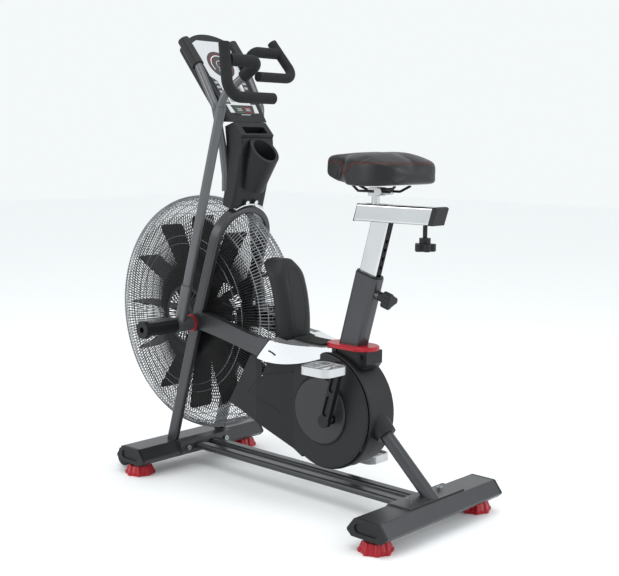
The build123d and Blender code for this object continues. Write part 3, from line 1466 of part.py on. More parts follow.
with BuildPart() as mast:
    with BuildSketch(upright(MAST_W / 2)):
        add(MAST_SIDE)
    extrude(amount=MAST_W)
    fillet(mast.edges().filter_by(lambda e: abs(abs(e.center().Y) - MAST_W / 2) < 0.1).filter_by(
        lambda e: 800 < e.center().Z < 1075), radius=9)
    with BuildSketch(CUP_AXIS.offset(-70)):
        Circle(CUP_R + 16)
    extrude(amount=70 + CUP_DEPTH + 20, taper=4.2)
    with BuildSketch(CUP_LIP):
        Rectangle(300, 400)
    extrude(amount=90, mode=Mode.SUBTRACT)
    with BuildSketch(upright(MAST_W / 2)):
        with BuildLine():
            Polyline((57.5, 990), (61, 1037), (57, 1046), (SEAM_X, SEAM_Z), (SEAM_X + 30, SEAM_Z - 12), (120, 990), close=True)
        make_face()
    extrude(amount=MAST_W)
    add(mast_inside.part, mode=Mode.SUBTRACT)
    with BuildSketch(CUP_AXIS.offset(-90)):
        Circle(CUP_R)
    extrude(amount=90 + CUP_DEPTH, mode=Mode.SUBTRACT)
    with BuildSketch(SLOT_PLANE.offset(-30)):
        RectangleRounded(90, 26, 4)
    extrude(amount=54, mode=Mode.SUBTRACT)
    with BuildSketch(ARCH_FACE.offset(-90)):
        Circle(ARCH_OUT + BRACKET_T + 0.5)
    extrude(amount=180, mode=Mode.SUBTRACT)
    for way in tube_ways:
        add(way, mode=Mode.SUBTRACT)
save(mast.part.solids().sort_by(SortBy.VOLUME)[-1], "mast_shroud")

# Console: its face leans forwards from the seam with the mast.
FACE_LEN = hypot(FACE_RUN_X, FACE_RUN_Z)
FACE_OUT = Vector(-FACE_RUN_Z, 0, FACE_RUN_X).normalized()
FACE = Plane(origin=(SEAM_X, 0, SEAM_Z), x_dir=(0, -1, 0), z_dir=FACE_OUT)
BEZEL_T = 3
SCREEN_UP, SCREEN_R = 214, 50


def console_outline(shrink):
    """The console face: local x across, local y up the face."""
    top_half, low_half = 95 - shrink, 72 - shrink
    with BuildSketch() as outline:
        with BuildLine():
            Line((-low_half, shrink), (low_half, shrink))
            Line((low_half, shrink), (top_half, FACE_LEN - 12 - shrink))
            ThreePointArc((top_half, FACE_LEN - 12 - shrink), (0, FACE_LEN + 22 - shrink), (-top_half, FACE_LEN - 12 - shrink))
            Line((-top_half, FACE_LEN - 12 - shrink), (-low_half, shrink))
        make_face()
        fillet(outline.vertices().group_by(Axis.Y)[-1], radius=22)
    return outline.sketch


def bezel_outline(shrink):
    """The bright panel let into the face, narrower at its foot."""
    with BuildSketch() as outline:
        with BuildLine():
            Polyline(
                (-58 + shrink, 34 + shrink), (-26, 34 + shrink), (-18, 26 + shrink), (18, 26 + shrink),
                (26, 34 + shrink), (58 - shrink, 34 + shrink), (77 - shrink, 290 - shrink),
                (52, 304 - shrink), (-52, 304 - shrink), (-77 + shrink, 290 - shrink),
                close=True,
            )
        make_face()
        with Locations((0, SCREEN_UP)):
            Circle(SCREEN_R + shrink, mode=Mode.SUBTRACT)
    return outline.sketch


CONSOLE_FACE, CONSOLE_IN = console_outline(0), console_outline(5)
BEZEL_POCKET, BEZEL_PLATE = bezel_outline(-0.2), bezel_outline(0)
with BuildPart() as console:
    with BuildSketch(FACE):
        add(CONSOLE_FACE)
    extrude(amount=-40)
    for side in (1, -1):
        with BuildSketch(along(tube_paths[side][4], tube_paths[side][5], (0, 1, 0))):
            Circle(18)
        extrude(amount=spaced(tube_paths[side][4], tube_paths[side][5]) + 12)
    with BuildSketch(FACE.offset(-6)):
        add(CONSOLE_IN)
    extrude(amount=-30, mode=Mode.SUBTRACT)
    with BuildSketch(FACE):
        add(BEZEL_POCKET)
        with Locations((0, SCREEN_UP)):
            Circle(SCREEN_R + 0.2)
    extrude(amount=-BEZEL_T, mode=Mode.SUBTRACT)
    for way in tube_ways:
        add(way, mode=Mode.SUBTRACT)
    with BuildSketch(Plane.XY.offset(SEAM_Z + 1)):
        with Locations((SEAM_X + 20, 0)):
            Rectangle(90, 200)
    extrude(amount=-60, mode=Mode.SUBTRACT)
save(console.part.solids().sort_by(SortBy.VOLUME)[-1], "console_housing")

with BuildPart() as bezel:
    with BuildSketch(FACE.offset(-BEZEL_T)):
        add(BEZEL_PLATE)
    extrude(amount=BEZEL_T + 1)
save(bezel.part, "console_bezel")

with BuildPart() as screen:
    with BuildSketch(FACE.offset(-BEZEL_T)):
        with Locations((0, SCREEN_UP)):
            Circle(SCREEN_R - 0.2)
    extrude(amount=BEZEL_T)
save(screen.part, "console_screen")
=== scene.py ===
import json
import math
import random

import bmesh
import bpy
from mathutils import Matrix, Vector
from mathutils.bvhtree import BVHTree


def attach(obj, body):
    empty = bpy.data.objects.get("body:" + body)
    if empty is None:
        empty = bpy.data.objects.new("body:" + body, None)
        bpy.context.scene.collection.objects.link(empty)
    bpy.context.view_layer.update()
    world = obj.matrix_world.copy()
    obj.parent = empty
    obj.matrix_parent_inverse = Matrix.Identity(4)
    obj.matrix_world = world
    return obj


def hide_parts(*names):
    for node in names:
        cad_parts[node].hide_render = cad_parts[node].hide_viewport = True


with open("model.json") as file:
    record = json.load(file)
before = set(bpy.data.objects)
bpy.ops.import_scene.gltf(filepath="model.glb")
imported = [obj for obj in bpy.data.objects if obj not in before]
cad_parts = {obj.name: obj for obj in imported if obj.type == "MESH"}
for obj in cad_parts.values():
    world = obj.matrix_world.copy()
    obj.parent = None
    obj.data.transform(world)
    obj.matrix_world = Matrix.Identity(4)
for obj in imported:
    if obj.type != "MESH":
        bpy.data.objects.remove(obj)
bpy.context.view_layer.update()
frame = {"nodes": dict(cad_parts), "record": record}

# Air bike: looks, wires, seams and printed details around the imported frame.  Metres.
random.seed(7)

FRAME_BODY = "frame"
FAN_CENTRE = Vector((0.2905, 0.0, 0.4925))
WIRES_PER_SIDE = 216
WIRE_R, SHADE_PAINTED_WIRE_R = 0.0011, 0.00155
# Painted shade: inside this radius the cage wires are drawn black and thicker to darken the cage's inner part.
SHADE_PAINT_REACH = 0.305
RING_R = 0.0014
GUARD_ROUND_FROM, GUARD_TOP = 0.625, 0.689
DISC_CENTRE, GROOVE_R = (-0.254, 0.277), 0.099
DROP_FROM = 0.3                        # beads are dropped onto the covers from this far out
# The cage's profile, hub plate to rim: radius from the fan axis, distance from the middle plane.
CAGE_PROFILE = ((0.090, 0.0845), (0.150, 0.0825), (0.215, 0.0790), (0.275, 0.0745), (0.315, 0.0695),
                (0.340, 0.0590), (0.355, 0.0445), (0.3635, 0.0260), (0.3660, 0.0120), (0.3660, 0.0))
MID_RINGS = (0.222, 0.246)
BELT_SECTOR = (math.radians(183), math.radians(216))
HUB_RINGS = ((0.0, 0.034), (0.082, 0.0925))
HUB_SLOTS = 36
FACE_ORIGIN = Vector((0.092, 0.0, 1.083))
FACE_UP = Vector((183.0, 0.0, 249.0)).normalized()
FACE_OUT = Vector((-249.0, 0.0, 183.0)).normalized()
FACE_RIGHT = Vector((0.0, -1.0, 0.0))


# ------------------------------------------------------------------ materials
def node_material(name, color, rough, metal=0.0, variation=0.12, grain=900.0, bump=0.12, depth=0.0004,
                  coat=0.0, stretch=(1.0, 1.0, 1.0), smudge=0.06, sheen_level=0.5):
    """A shader with uneven colour, uneven roughness and a fine surface grain."""
    mat = bpy.data.materials.new(name)
    mat.use_nodes = True
    nodes, links = mat.node_tree.nodes, mat.node_tree.links
    shader = nodes["Principled BSDF"]
    shader.inputs["Metallic"].default_value = metal
    shader.inputs["Coat Weight"].default_value = coat
    shader.inputs["Specular IOR Level"].default_value = sheen_level
    shader.inputs["Coat Roughness"].default_value = 0.12
    coords = nodes.new("ShaderNodeTexCoord")
    mapping = nodes.new("ShaderNodeMapping")
    mapping.inputs["Scale"].default_value = stretch
    links.new(coords.outputs["Object"], mapping.inputs["Vector"])

    cloud = nodes.new("ShaderNodeTexNoise")
    cloud.inputs["Scale"].default_value = 9.0
    cloud.inputs["Detail"].default_value = 5.0
    links.new(coords.outputs["Object"], cloud.inputs["Vector"])
    tint = nodes.new("ShaderNodeMix")
    tint.data_type = "RGBA"
    tint.inputs["A"].default_value = [c * (1 - variation) for c in color] + [1]
    tint.inputs["B"].default_value = [min(1, c * (1 + variation)) for c in color] + [1]
    links.new(cloud.outputs["Fac"], tint.inputs["Factor"])
    links.new(tint.outputs["Result"], shader.inputs["Base Color"])

    rub = nodes.new("ShaderNodeTexNoise")
    rub.inputs["Scale"].default_value = 38.0
    rub.inputs["Detail"].default_value = 6.0
    rub.inputs["Roughness"].default_value = 0.65
    links.new(mapping.outputs["Vector"], rub.inputs["Vector"])
    rough_range = nodes.new("ShaderNodeMapRange")
    rough_range.inputs["To Min"].default_value = max(0.02, rough - smudge)
    rough_range.inputs["To Max"].default_value = min(1.0, rough + smudge)
    links.new(rub.outputs["Fac"], rough_range.inputs["Value"])
    links.new(rough_range.outputs["Result"], shader.inputs["Roughness"])

    fine = nodes.new("ShaderNodeTexNoise")
    fine.inputs["Scale"].default_value = grain
    fine.inputs["Detail"].default_value = 3.0
    links.new(mapping.outputs["Vector"], fine.inputs["Vector"])
    relief = nodes.new("ShaderNodeBump")
    relief.inputs["Strength"].default_value = bump
    relief.inputs["Distance"].default_value = depth
    links.new(fine.outputs["Fac"], relief.inputs["Height"])
    links.new(relief.outputs["Normal"], shader.inputs["Normal"])
    return mat


def leather_material():
    """Black synthetic leather: cell grain with uneven tone and roughness."""
    mat = node_material("saddle vinyl look", (0.007, 0.007, 0.0075), 0.40, variation=0.3, smudge=0.09, sheen_level=0.35)
    nodes, links = mat.node_tree.nodes, mat.node_tree.links
    coords = next(n for n in nodes if n.type == "TEX_COORD")
    relief = next(n for n in nodes if n.type == "BUMP")
    cells = nodes.new("ShaderNodeTexVoronoi")
    cells.feature = "DISTANCE_TO_EDGE"
    cells.inputs["Scale"].default_value = 620.0
    links.new(coords.outputs["Object"], cells.inputs["Vector"])
    links.new(cells.outputs["Distance"], relief.inputs["Height"])
    relief.inputs["Strength"].default_value = 0.35
    relief.inputs["Distance"].default_value = 0.0006
    return mat


def post_material():
    """Satin chrome with painted shade: faces turned to the rear are painted black, told by the face's direction."""
    mat = node_material("post look with painted rear shade", (0.62, 0.63, 0.64), 0.22, metal=1.0, stretch=(1, 1, 0.06), grain=700, bump=0.05)
    nodes, links = mat.node_tree.nodes, mat.node_tree.links
    shader = nodes["Principled BSDF"]
    tint = next(n for n in nodes if n.type == "MIX")
    where = nodes.new("ShaderNodeNewGeometry")
    lean = nodes.new("ShaderNodeVectorMath")
    lean.operation = "DOT_PRODUCT"
    lean.inputs[1].default_value = (-0.963, 0.0, -0.269)
    links.new(where.outputs["Normal"], lean.inputs[0])
    # Painted shade: faces turned rearward and slightly down get a near-black colour instead of chrome.
    rear_shade_mask = nodes.new("ShaderNodeMapRange")
    rear_shade_mask.inputs["From Min"].default_value = 0.90
    rear_shade_mask.inputs["From Max"].default_value = 0.94
    links.new(lean.outputs["Value"], rear_shade_mask.inputs["Value"])
    painted_rear_shade = nodes.new("ShaderNodeMix")
    painted_rear_shade.data_type = "RGBA"
    painted_rear_shade.inputs["B"].default_value = (0.012, 0.012, 0.013, 1)
    links.new(rear_shade_mask.outputs["Result"], painted_rear_shade.inputs["Factor"])
    links.new(tint.outputs["Result"], painted_rear_shade.inputs["A"])
    links.new(painted_rear_shade.outputs["Result"], shader.inputs["Base Color"])
    return mat


LOOKS = {
    "graphite_frame": node_material("graphite look", (0.060, 0.061, 0.065), 0.33, metal=0.65, grain=1500, bump=0.06, coat=0.12,
                                    sheen_level=0.3),
    "grey_arm": node_material("grey arm look", (0.110, 0.112, 0.117), 0.34, metal=0.6, grain=1500, bump=0.05, coat=0.12,
                              sheen_level=0.3),
    "black_metal": node_material("black metal look", (0.010, 0.010, 0.011), 0.36, metal=0.2, grain=1300, bump=0.08, coat=0.05,
                                 sheen_level=0.25),
    "cover_plastic": node_material("cover look", (0.011, 0.011, 0.012), 0.50, grain=1700, bump=0.28, depth=0.0005, smudge=0.08,
                                   sheen_level=0.28),
    "disc_plastic": node_material("disc look", (0.024, 0.024, 0.026), 0.38, grain=1400, bump=0.12, smudge=0.07,
                                  sheen_level=0.35),
    "red_plastic": node_material("red look", (0.36, 0.005, 0.014), 0.36, grain=900, bump=0.08, variation=0.1, coat=0.1,
                                 sheen_level=0.3),
    "silver_plastic": node_material("silver look", (0.70, 0.71, 0.73), 0.20, metal=0.75, grain=1200, bump=0.03, variation=0.05,
                                    coat=0.6),
    "grip_foam": node_material("foam look", (0.010, 0.010, 0.0105), 0.78, grain=1500, bump=0.55, depth=0.0008, smudge=0.1,
                               sheen_level=0.3),
    "tread_rubber": node_material("tread look", (0.008, 0.008, 0.008), 0.72, grain=1200, bump=0.4, sheen_level=0.3),
    "wheel_rubber": node_material("wheel look", (0.008, 0.008, 0.008), 0.65, grain=1100, bump=0.3, sheen_level=0.3),
    "chrome_metal": node_material("chrome look", (0.60, 0.61, 0.62), 0.19, metal=1.0, stretch=(0.06, 1, 1), grain=800, bump=0.05,
                                  variation=0.06),
    "steel": node_material("steel look", (0.52, 0.53, 0.54), 0.24, metal=1.0, stretch=(1, 0.05, 1), grain=900, bump=0.12),
    "zinc_steel": node_material("zinc look", (0.40, 0.41, 0.42), 0.32, metal=1.0, grain=600, bump=0.12),
    "cast_alloy": node_material("alloy look", (0.56, 0.57, 0.58), 0.30, metal=1.0, grain=700, bump=0.2),
    "wire_silver": node_material("wire look", (0.28, 0.285, 0.30), 0.34, metal=0.8, grain=900, bump=0.1),
    "fan_plastic": node_material("fan look", (0.009, 0.009, 0.010), 0.5, grain=1200, bump=0.2, sheen_level=0.3),
    "belt_rubber": node_material("belt look", (0.012, 0.012, 0.012), 0.6, stretch=(1, 12, 1), grain=400, bump=0.4),
    "saddle_vinyl": leather_material(),
    "screen_glass": node_material("screen look", (0.006, 0.006, 0.007), 0.12, grain=500, bump=0.01, coat=0.5),
}
# Seat post look, which carries painted shade on its rear faces.
POST_LOOK_WITH_PAINTED_SHADE = post_material()
THREAD_LOOK = node_material("red thread look", (0.20, 0.010, 0.014), 0.7, grain=2600, bump=0.5)
KEY_LOOK = node_material("printed key look", (0.30, 0.31, 0.33), 0.42, grain=1500, bump=0.1)
PANEL_LOOK = node_material("printed panel look", (0.014, 0.014, 0.016), 0.34, grain=1500, bump=0.08)
GREEN_LOOK = node_material("green print look", (0.02, 0.17, 0.04), 0.4, grain=1500, bump=0.08)
WHITE_LOOK = node_material("white print look", (0.70, 0.71, 0.73), 0.4, grain=1500, bump=0.06, variation=0.05)
LCD_LOOK = node_material("display look", (0.20, 0.23, 0.22), 0.16, grain=800, bump=0.02, coat=0.5)

slot_of = {part["node"]: part["material_slot"] for part in frame["record"]["subparts"]}
for node_name, piece in frame["nodes"].items():
    look = POST_LOOK_WITH_PAINTED_SHADE if node_name == "seat_post" else LOOKS[slot_of[node_name]]
    for place in piece.material_slots:
        place.material = look


# ------------------------------------------------------------------ mesh building
class Sheaf:
    """Collects tubes, slabs and bars and turns them into one mesh."""

    def __init__(self):
        self.verts, self.faces = [], []

    def ring(self, centre, u, v, radius, sides):
        start = len(self.verts)
        for k in range(sides):
            turn = 2 * math.pi * k / sides
            self.verts.append(centre + radius * (math.cos(turn) * u + math.sin(turn) * v))
        return start

    def tube(self, points, radius, sides=6, closed=False):
        points = [Vector(p) for p in points]
        count = len(points)
        rings = []
        for k, point in enumerate(points):
            before = points[k - 1] if (k or closed) else point
            after = points[(k + 1) % count] if (k < count - 1 or closed) else point
            along = (after - before).normalized()
            u = along.cross(Vector((0.31, 0.93, 0.17))).normalized()
            rings.append(self.ring(point, u, along.cross(u), radius, sides))
        spans = count if closed else count - 1
        for k in range(spans):
            a, b = rings[k], rings[(k + 1) % count]
            for s in range(sides):
                t = (s + 1) % sides
                self.faces.append((a + s, a + t, b + t, b + s))
        if not closed:
            self.faces.append(tuple(rings[0] + s for s in reversed(range(sides))))
            self.faces.append(tuple(rings[-1] + s for s in range(sides)))

    def prism(self, outline, lift):
        """A flat outline given as points, thickened by the vector lift."""
        start, count = len(self.verts), len(outline)
        self.verts += [Vector(p) for p in outline]
        self.verts += [Vector(p) + lift for p in outline]
        self.faces.append(tuple(start + k for k in reversed(range(count))))
        self.faces.append(tuple(start + count + k for k in range(count)))
        for k in range(count):
            n = (k + 1) % count
            self.faces.append((start + k, start + n, start + count + n, start + count + k))

    def annulus(self, centre, u, v, inner, outer, lift, start=0.0, end=2 * math.pi, steps=72):
        """A flat ring or arc of a ring, thickened by the vector lift."""
        for k in range(steps):
            a = start + (end - start) * k / steps
            b = start + (end - start) * (k + 1) / steps
            corners = ((inner, a), (outer, a), (outer, b), (inner, b))
            self.prism([centre + r * (math.cos(t) * u + math.sin(t) * v) for r, t in corners], lift)

    def build(self, name, look, slot, body, smooth=False):
        mesh = bpy.data.meshes.new(name)
        mesh.from_pydata([tuple(v) for v in self.verts], [], self.faces)
        mesh.update()
        tidy = bmesh.new()
        tidy.from_mesh(mesh)
        bmesh.ops.remove_doubles(tidy, verts=tidy.verts, dist=1e-6)
        bmesh.ops.recalc_face_normals(tidy, faces=tidy.faces)
        tidy.to_mesh(mesh)
        tidy.free()
        mesh.materials.append(look)
        for face in mesh.polygons:
            face.use_smooth = smooth
        obj = bpy.data.objects.new(name, mesh)
        bpy.context.scene.collection.objects.link(obj)
        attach(obj, body)
        return obj


# ------------------------------------------------------------------ fan cage
def around(radius, turn, y):
    """A point around the fan axis."""
    return FAN_CENTRE + Vector((radius * math.cos(turn), y, radius * math.sin(turn)))


def profile_y(radius):
    """Distance of the cage from the middle plane at this radius."""
    for (r0, y0), (r1, y1) in zip(CAGE_PROFILE, CAGE_PROFILE[1:]):
        if r0 <= radius <= r1 and r1 > r0:
            return y0 + (y1 - y0) * (radius - r0) / (r1 - r0)
    return 0.0


wires, shade_painted_inner_wires, rings = Sheaf(), Sheaf(), Sheaf()
for side in (1, -1):
    for k in range(WIRES_PER_SIDE):
        turn = 2 * math.pi * (k + (0.5 if side > 0 else 0.0)) / WIRES_PER_SIDE
        stop = 0.305 if side < 0 and BELT_SECTOR[0] < turn < BELT_SECTOR[1] else 1.0
        # Painted shade: the wire's part inside the reach is built black and thicker, the rest silver.
        dark = [(r, y) for r, y in CAGE_PROFILE if r < SHADE_PAINT_REACH] + [(SHADE_PAINT_REACH, profile_y(SHADE_PAINT_REACH))]
        shade_painted_inner_wires.tube([around(r, turn, side * y) for r, y in dark], SHADE_PAINTED_WIRE_R, sides=5)
        if stop > SHADE_PAINT_REACH:
            rim = [(SHADE_PAINT_REACH, profile_y(SHADE_PAINT_REACH))] + [(r, y) for r, y in CAGE_PROFILE if r > SHADE_PAINT_REACH]
            wires.tube([around(r, turn, side * y) for r, y in rim], WIRE_R, sides=5)
    ring_places = [(r, profile_y(r)) for r in MID_RINGS] + list(CAGE_PROFILE[4:9])
    for radius, y in ring_places:
        inner = radius - 0.0016
        turns = [2 * math.pi * k / 144 for k in range(144)]
        cut = side < 0 and radius > 0.31
        if cut:
            turns = [t for t in turns if not BELT_SECTOR[0] < t < BELT_SECTOR[1]]
            pivot = next(i for i, t in enumerate(turns) if t >= BELT_SECTOR[1])
            turns = turns[pivot:] + turns[:pivot]
        rings.tube([around(inner, t, side * (y - 0.0012)) for t in turns], RING_R, sides=6, closed=not cut)
rings.tube([around(0.3655, 2 * math.pi * k / 180, 0.0) for k in range(180)], 0.0022, sides=8, closed=True)
cage_wires = wires.build("fan_cage_wires", LOOKS["wire_silver"], "wire_silver", FRAME_BODY, smooth=True)
cage_rings = rings.build("fan_cage_rings", LOOKS["wire_silver"], "wire_silver", FRAME_BODY, smooth=True)
shade_painted_inner_wires.build("fan_cage_inner_wires_painted_shade", LOOKS["black_metal"], "wire_silver", FRAME_BODY, smooth=True)
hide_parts("fan_cage")

plates = Sheaf()
for side in (1, -1):
    lift = Vector((0, side * 0.0025, 0))
    base = FAN_CENTRE + Vector((0, side * 0.082, 0))
    across, upward = Vector((1, 0, 0)), Vector((0, 0, 1))
    plates.annulus(base, across, upward, 0.009, HUB_RINGS[0][1], lift)
    plates.annulus(base, across, upward, HUB_RINGS[1][0], HUB_RINGS[1][1], lift)
    for k in range(HUB_SLOTS):
        turn = 2 * math.pi * k / HUB_SLOTS
        wide = 0.032
        plates.annulus(base, across, upward, HUB_RINGS[0][1] - 0.001, HUB_RINGS[1][0] + 0.001, lift,
                       turn - wide, turn + wide, steps=1)
plates.build("fan_cage_hub_plates", LOOKS["cover_plastic"], "cover_plastic", FRAME_BODY)


# ------------------------------------------------------------------ covers
def select_only(obj):
    """Make this the one selected and active object."""
    bpy.ops.object.select_all(action="DESELECT")
    bpy.context.view_layer.objects.active = obj
    obj.select_set(True)


def guard_cover():
    """The rear guard with the soft corners and hooded top of a moulding."""
    guard = bpy.data.objects.new("rear_guard_cover", frame["nodes"]["rear_guard"].data.copy())
    bpy.context.scene.collection.objects.link(guard)
    select_only(guard)
    remesh = guard.modifiers.new("remesh", "REMESH")
    remesh.mode = "VOXEL"
    remesh.voxel_size = 0.002
    bpy.ops.object.modifier_apply(modifier="remesh")
    for vert in guard.data.vertices:
        p = vert.co
        rise = max(0.0, (p.z - GUARD_ROUND_FROM) / (GUARD_TOP - GUARD_ROUND_FROM))
        p.y *= 1 - 0.30 * rise ** 3
        p.x += 0.012 * rise ** 3
        p.z -= 0.016 * rise ** 2 * (abs(p.y) / 0.05) ** 2
    smooth = guard.modifiers.new("smooth", "SMOOTH")
    smooth.factor = 0.5
    smooth.iterations = 8
    bpy.ops.object.modifier_apply(modifier="smooth")
    guard.data.materials.clear()
    guard.data.materials.append(LOOKS["cover_plastic"])
    for face in guard.data.polygons:
        face.use_smooth = True
        face.material_index = 0
    return guard


def surface_of(objects):
    """A search tree over the meshes of these objects."""
    verts, faces = [], []
    for obj in objects:
        base = len(verts)
        verts += [obj.matrix_world @ v.co for v in obj.data.vertices]
        faces += [tuple(base + k for k in p.vertices) for p in obj.data.polygons]
    return BVHTree.FromPolygons(verts, faces)


def drape(tree, points, toward, radius, sheaf, closed=False):
    """A bead laid on a surface: each point is dropped onto it along a direction."""
    landed = []
    for point in points:
        hit, normal, _, _ = tree.ray_cast(Vector(point), Vector(toward))
        if hit is not None:
            landed.append(hit - normal.normalized() * radius * 0.35)
    if len(landed) > 2:
        sheaf.tube(landed, radius, sides=8, closed=closed)


def between(corners, steps=14):
    """Points evenly spread along the straight runs between the corners."""
    out = []
    for a, b in zip(corners, corners[1:]):
        out += [[x + (y - x) * k / steps for x, y in zip(a, b)] for k in range(steps)]
    return out + [list(corners[-1])]


guard = guard_cover()
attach(guard, FRAME_BODY)
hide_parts("rear_guard")

guard_tree = surface_of([guard])
panel_line = Sheaf()
oval = []
for k in range(96):
    turn = 2 * math.pi * k / 96
    across = 0.026 * (abs(math.cos(turn)) ** 0.8) * (1 if math.cos(turn) > 0 else -1)
    up = 0.572 + 0.092 * (abs(math.sin(turn)) ** 0.55) * (1 if math.sin(turn) > 0 else -1)
    oval.append((-0.4, across, up))
drape(guard_tree, oval, (1, 0, 0), 0.0011, panel_line, closed=True)
panel_line.build("rear_guard_panel_line", LOOKS["black_metal"], "cover_plastic", FRAME_BODY, smooth=True)

relief, groove = Sheaf(), Sheaf()
for side, node in ((1, "drive_shroud_left"), (-1, "drive_shroud_right")):
    shroud_tree = surface_of([frame["nodes"][node]])
    inward = (0, -side, 0)
    out = side * DROP_FROM
    chevron = [(-0.150, out, 0.372), (-0.046, out, 0.353), (0.004, out, 0.297),
               (-0.066, out, 0.268), (-0.112, out, 0.246)]
    drape(shroud_tree, between(chevron), inward, 0.0016, relief)
    inner = [(-0.052, out, 0.345), (-0.018, out, 0.300), (-0.072, out, 0.276)]
    drape(shroud_tree, between(inner), inward, 0.0011, relief)
    ring = [(DISC_CENTRE[0] + GROOVE_R * math.cos(2 * math.pi * k / 90), out,
             DISC_CENTRE[1] + GROOVE_R * math.sin(2 * math.pi * k / 90)) for k in range(90)]
    drape(shroud_tree, ring, inward, 0.0018, groove, closed=True)
step_tree = surface_of([frame["nodes"]["step_cover"]])
for side in (1, -1):
    out = side * DROP_FROM
    drop_hole = between([(-0.099, out, 0.434), (-0.110, out, 0.430), (-0.121, out, 0.423)], 6)
    drape(step_tree, drop_hole, (0, -side, 0), 0.0030, groove)
relief.build("shroud_chevron_relief", LOOKS["cover_plastic"], "cover_plastic", FRAME_BODY, smooth=True)
groove.build("shroud_ring_groove", LOOKS["black_metal"], "cover_plastic", FRAME_BODY, smooth=True)


# ------------------------------------------------------------------ saddle
def saddle_cover():
    """The padded saddle, grown from the saddle's block into a soft crowned form."""
    block = frame["nodes"]["saddle"]
    cover = bpy.data.objects.new("saddle_cover", block.data.copy())
    bpy.context.scene.collection.objects.link(cover)
    select_only(cover)
    remesh = cover.modifiers.new("remesh", "REMESH")
    remesh.mode = "VOXEL"
    remesh.voxel_size = 0.005
    bpy.ops.object.modifier_apply(modifier="remesh")
    rest = cover.data.vertices
    low = Vector([min(v.co[k] for v in rest) for k in range(3)])
    top = Vector([max(v.co[k] for v in rest) for k in range(3)])
    mid, half = (low + top) / 2, (top - low) / 2
    for vert in rest:
        p = vert.co
        edge = min(1.0, math.hypot((p.x - mid.x) / half.x, (p.y - mid.y) / half.y))
        share = (p.z - low.z) / (top.z - low.z)
        rear = max(0.0, (mid.x - p.x) / half.x)
        nose = max(0.0, (p.x - mid.x) / half.x)
        p.z -= share * (0.005 * edge ** 4 + 0.020 * rear ** 4)
        p.z += (1 - share) * (0.003 * rear ** 4 + 0.010 * nose ** 3)
        # A shallow channel along the middle and a lower nose, above the underside only.
        high = max(0.0, min(1.0, (p.z - 0.93) / 0.06))
        channel = math.exp(-(p.y / 0.020) ** 2) * max(0.0, min(1.0, (-0.25 - p.x) / 0.06))
        crown = (abs(p.y) / 0.13) ** 2
        p.z -= high * (0.0045 * channel + 0.010 * crown)
    smooth = cover.modifiers.new("smooth", "SMOOTH")
    smooth.factor = 0.5
    smooth.iterations = 22
    bpy.ops.object.modifier_apply(modifier="smooth")
    settle(cover)
    rounder = cover.modifiers.new("subdivision", "SUBSURF")
    rounder.levels = 1
    rounder.render_levels = 1
    bpy.ops.object.modifier_apply(modifier="subdivision")
    cover.data.materials.clear()
    cover.data.materials.append(LOOKS["saddle_vinyl"])
    for face in cover.data.polygons:
        face.use_smooth = True
        face.material_index = 0
    return cover


def settle(cover):
    """Let the cover fill out under a little inner pressure, with its underside held."""
    before = [v.co.copy() for v in cover.data.vertices]
    held = cover.vertex_groups.new(name="held")
    held.add([v.index for v in cover.data.vertices if v.co.z < 0.927], 1.0, "REPLACE")
    cloth = cover.modifiers.new("cloth", "CLOTH")
    cloth.settings.vertex_group_mass = "held"
    cloth.settings.use_pressure = True
    cloth.settings.uniform_pressure_force = 4.0
    cloth.settings.tension_stiffness = 40.0
    cloth.settings.compression_stiffness = 40.0
    cloth.settings.effector_weights.gravity = 0.0
    cloth.point_cache.frame_start = 1
    cloth.point_cache.frame_end = 20
    for step in range(1, 21):
        bpy.context.scene.frame_set(step)
    bpy.ops.object.modifier_apply(modifier="cloth")
    bpy.context.scene.frame_set(1)
    reach = 0.004
    for vert, old in zip(cover.data.vertices, before):
        moved = vert.co - old
        if moved.length > reach:
            vert.co = old + moved.normalized() * reach


cover = saddle_cover()
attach(cover, "saddle")
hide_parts("saddle")

tree = BVHTree.FromPolygons([v.co for v in cover.data.vertices], [tuple(p.vertices) for p in cover.data.polygons])
SADDLE_X = -0.425
STITCH_PITCH, STITCH_LEN = 0.0052, 0.0034
SEAM_HEIGHTS = (0.9790, 0.9745)


def on_cover(turn, height):
    """The point of the cover met from outside at this turn and height, and its normal."""
    away = Vector((math.cos(turn), math.sin(turn), 0))
    start = Vector((SADDLE_X, 0.0, height)) + away * 0.4
    hit, normal, _, _ = tree.ray_cast(start, -away)
    return hit, normal


threads = Sheaf()
seam = Sheaf()
for row, level in enumerate(SEAM_HEIGHTS):
    path = []
    for k in range(720):
        turn = 2 * math.pi * k / 720
        bearing = abs(math.remainder(turn, 2 * math.pi))
        dip = 0.034 * math.exp(-((bearing - 0.95) / 0.42) ** 2) + 0.004 * max(0.0, -math.cos(turn))
        hit, normal = on_cover(turn, level - dip)
        if hit is not None:
            path.append((hit, normal))
    run, last = 0.0, path[0][0]
    for k in range(1, len(path)):
        here, normal = path[k]
        run += (here - last).length
        last = here
        if (run % STITCH_PITCH) < STITCH_LEN:
            before_point, before_normal = path[k - 1]
            if (here - before_point).length < 0.004:
                threads.tube([before_point + before_normal * 0.0003, here + normal * 0.0003], 0.00045, sides=5)
    if row == 0:
        middle = [p - n * 0.0001 - Vector((0, 0, 0.0022)) for p, n in path]
        seam.tube(middle[::2], 0.0007, sides=6, closed=True)
threads.build("saddle_stitching", THREAD_LOOK, "red_plastic", "saddle")
seam.build("saddle_seam", LOOKS["saddle_vinyl"], "saddle_vinyl", "saddle", smooth=True)


# ------------------------------------------------------------------ console face
def on_face(across, up, out=0.0):
    """A point on the console's face: millimetres across to the rider's right, up it and out of it."""
    return FACE_ORIGIN + FACE_RIGHT * across * 0.001 + FACE_UP * up * 0.001 + FACE_OUT * out * 0.001


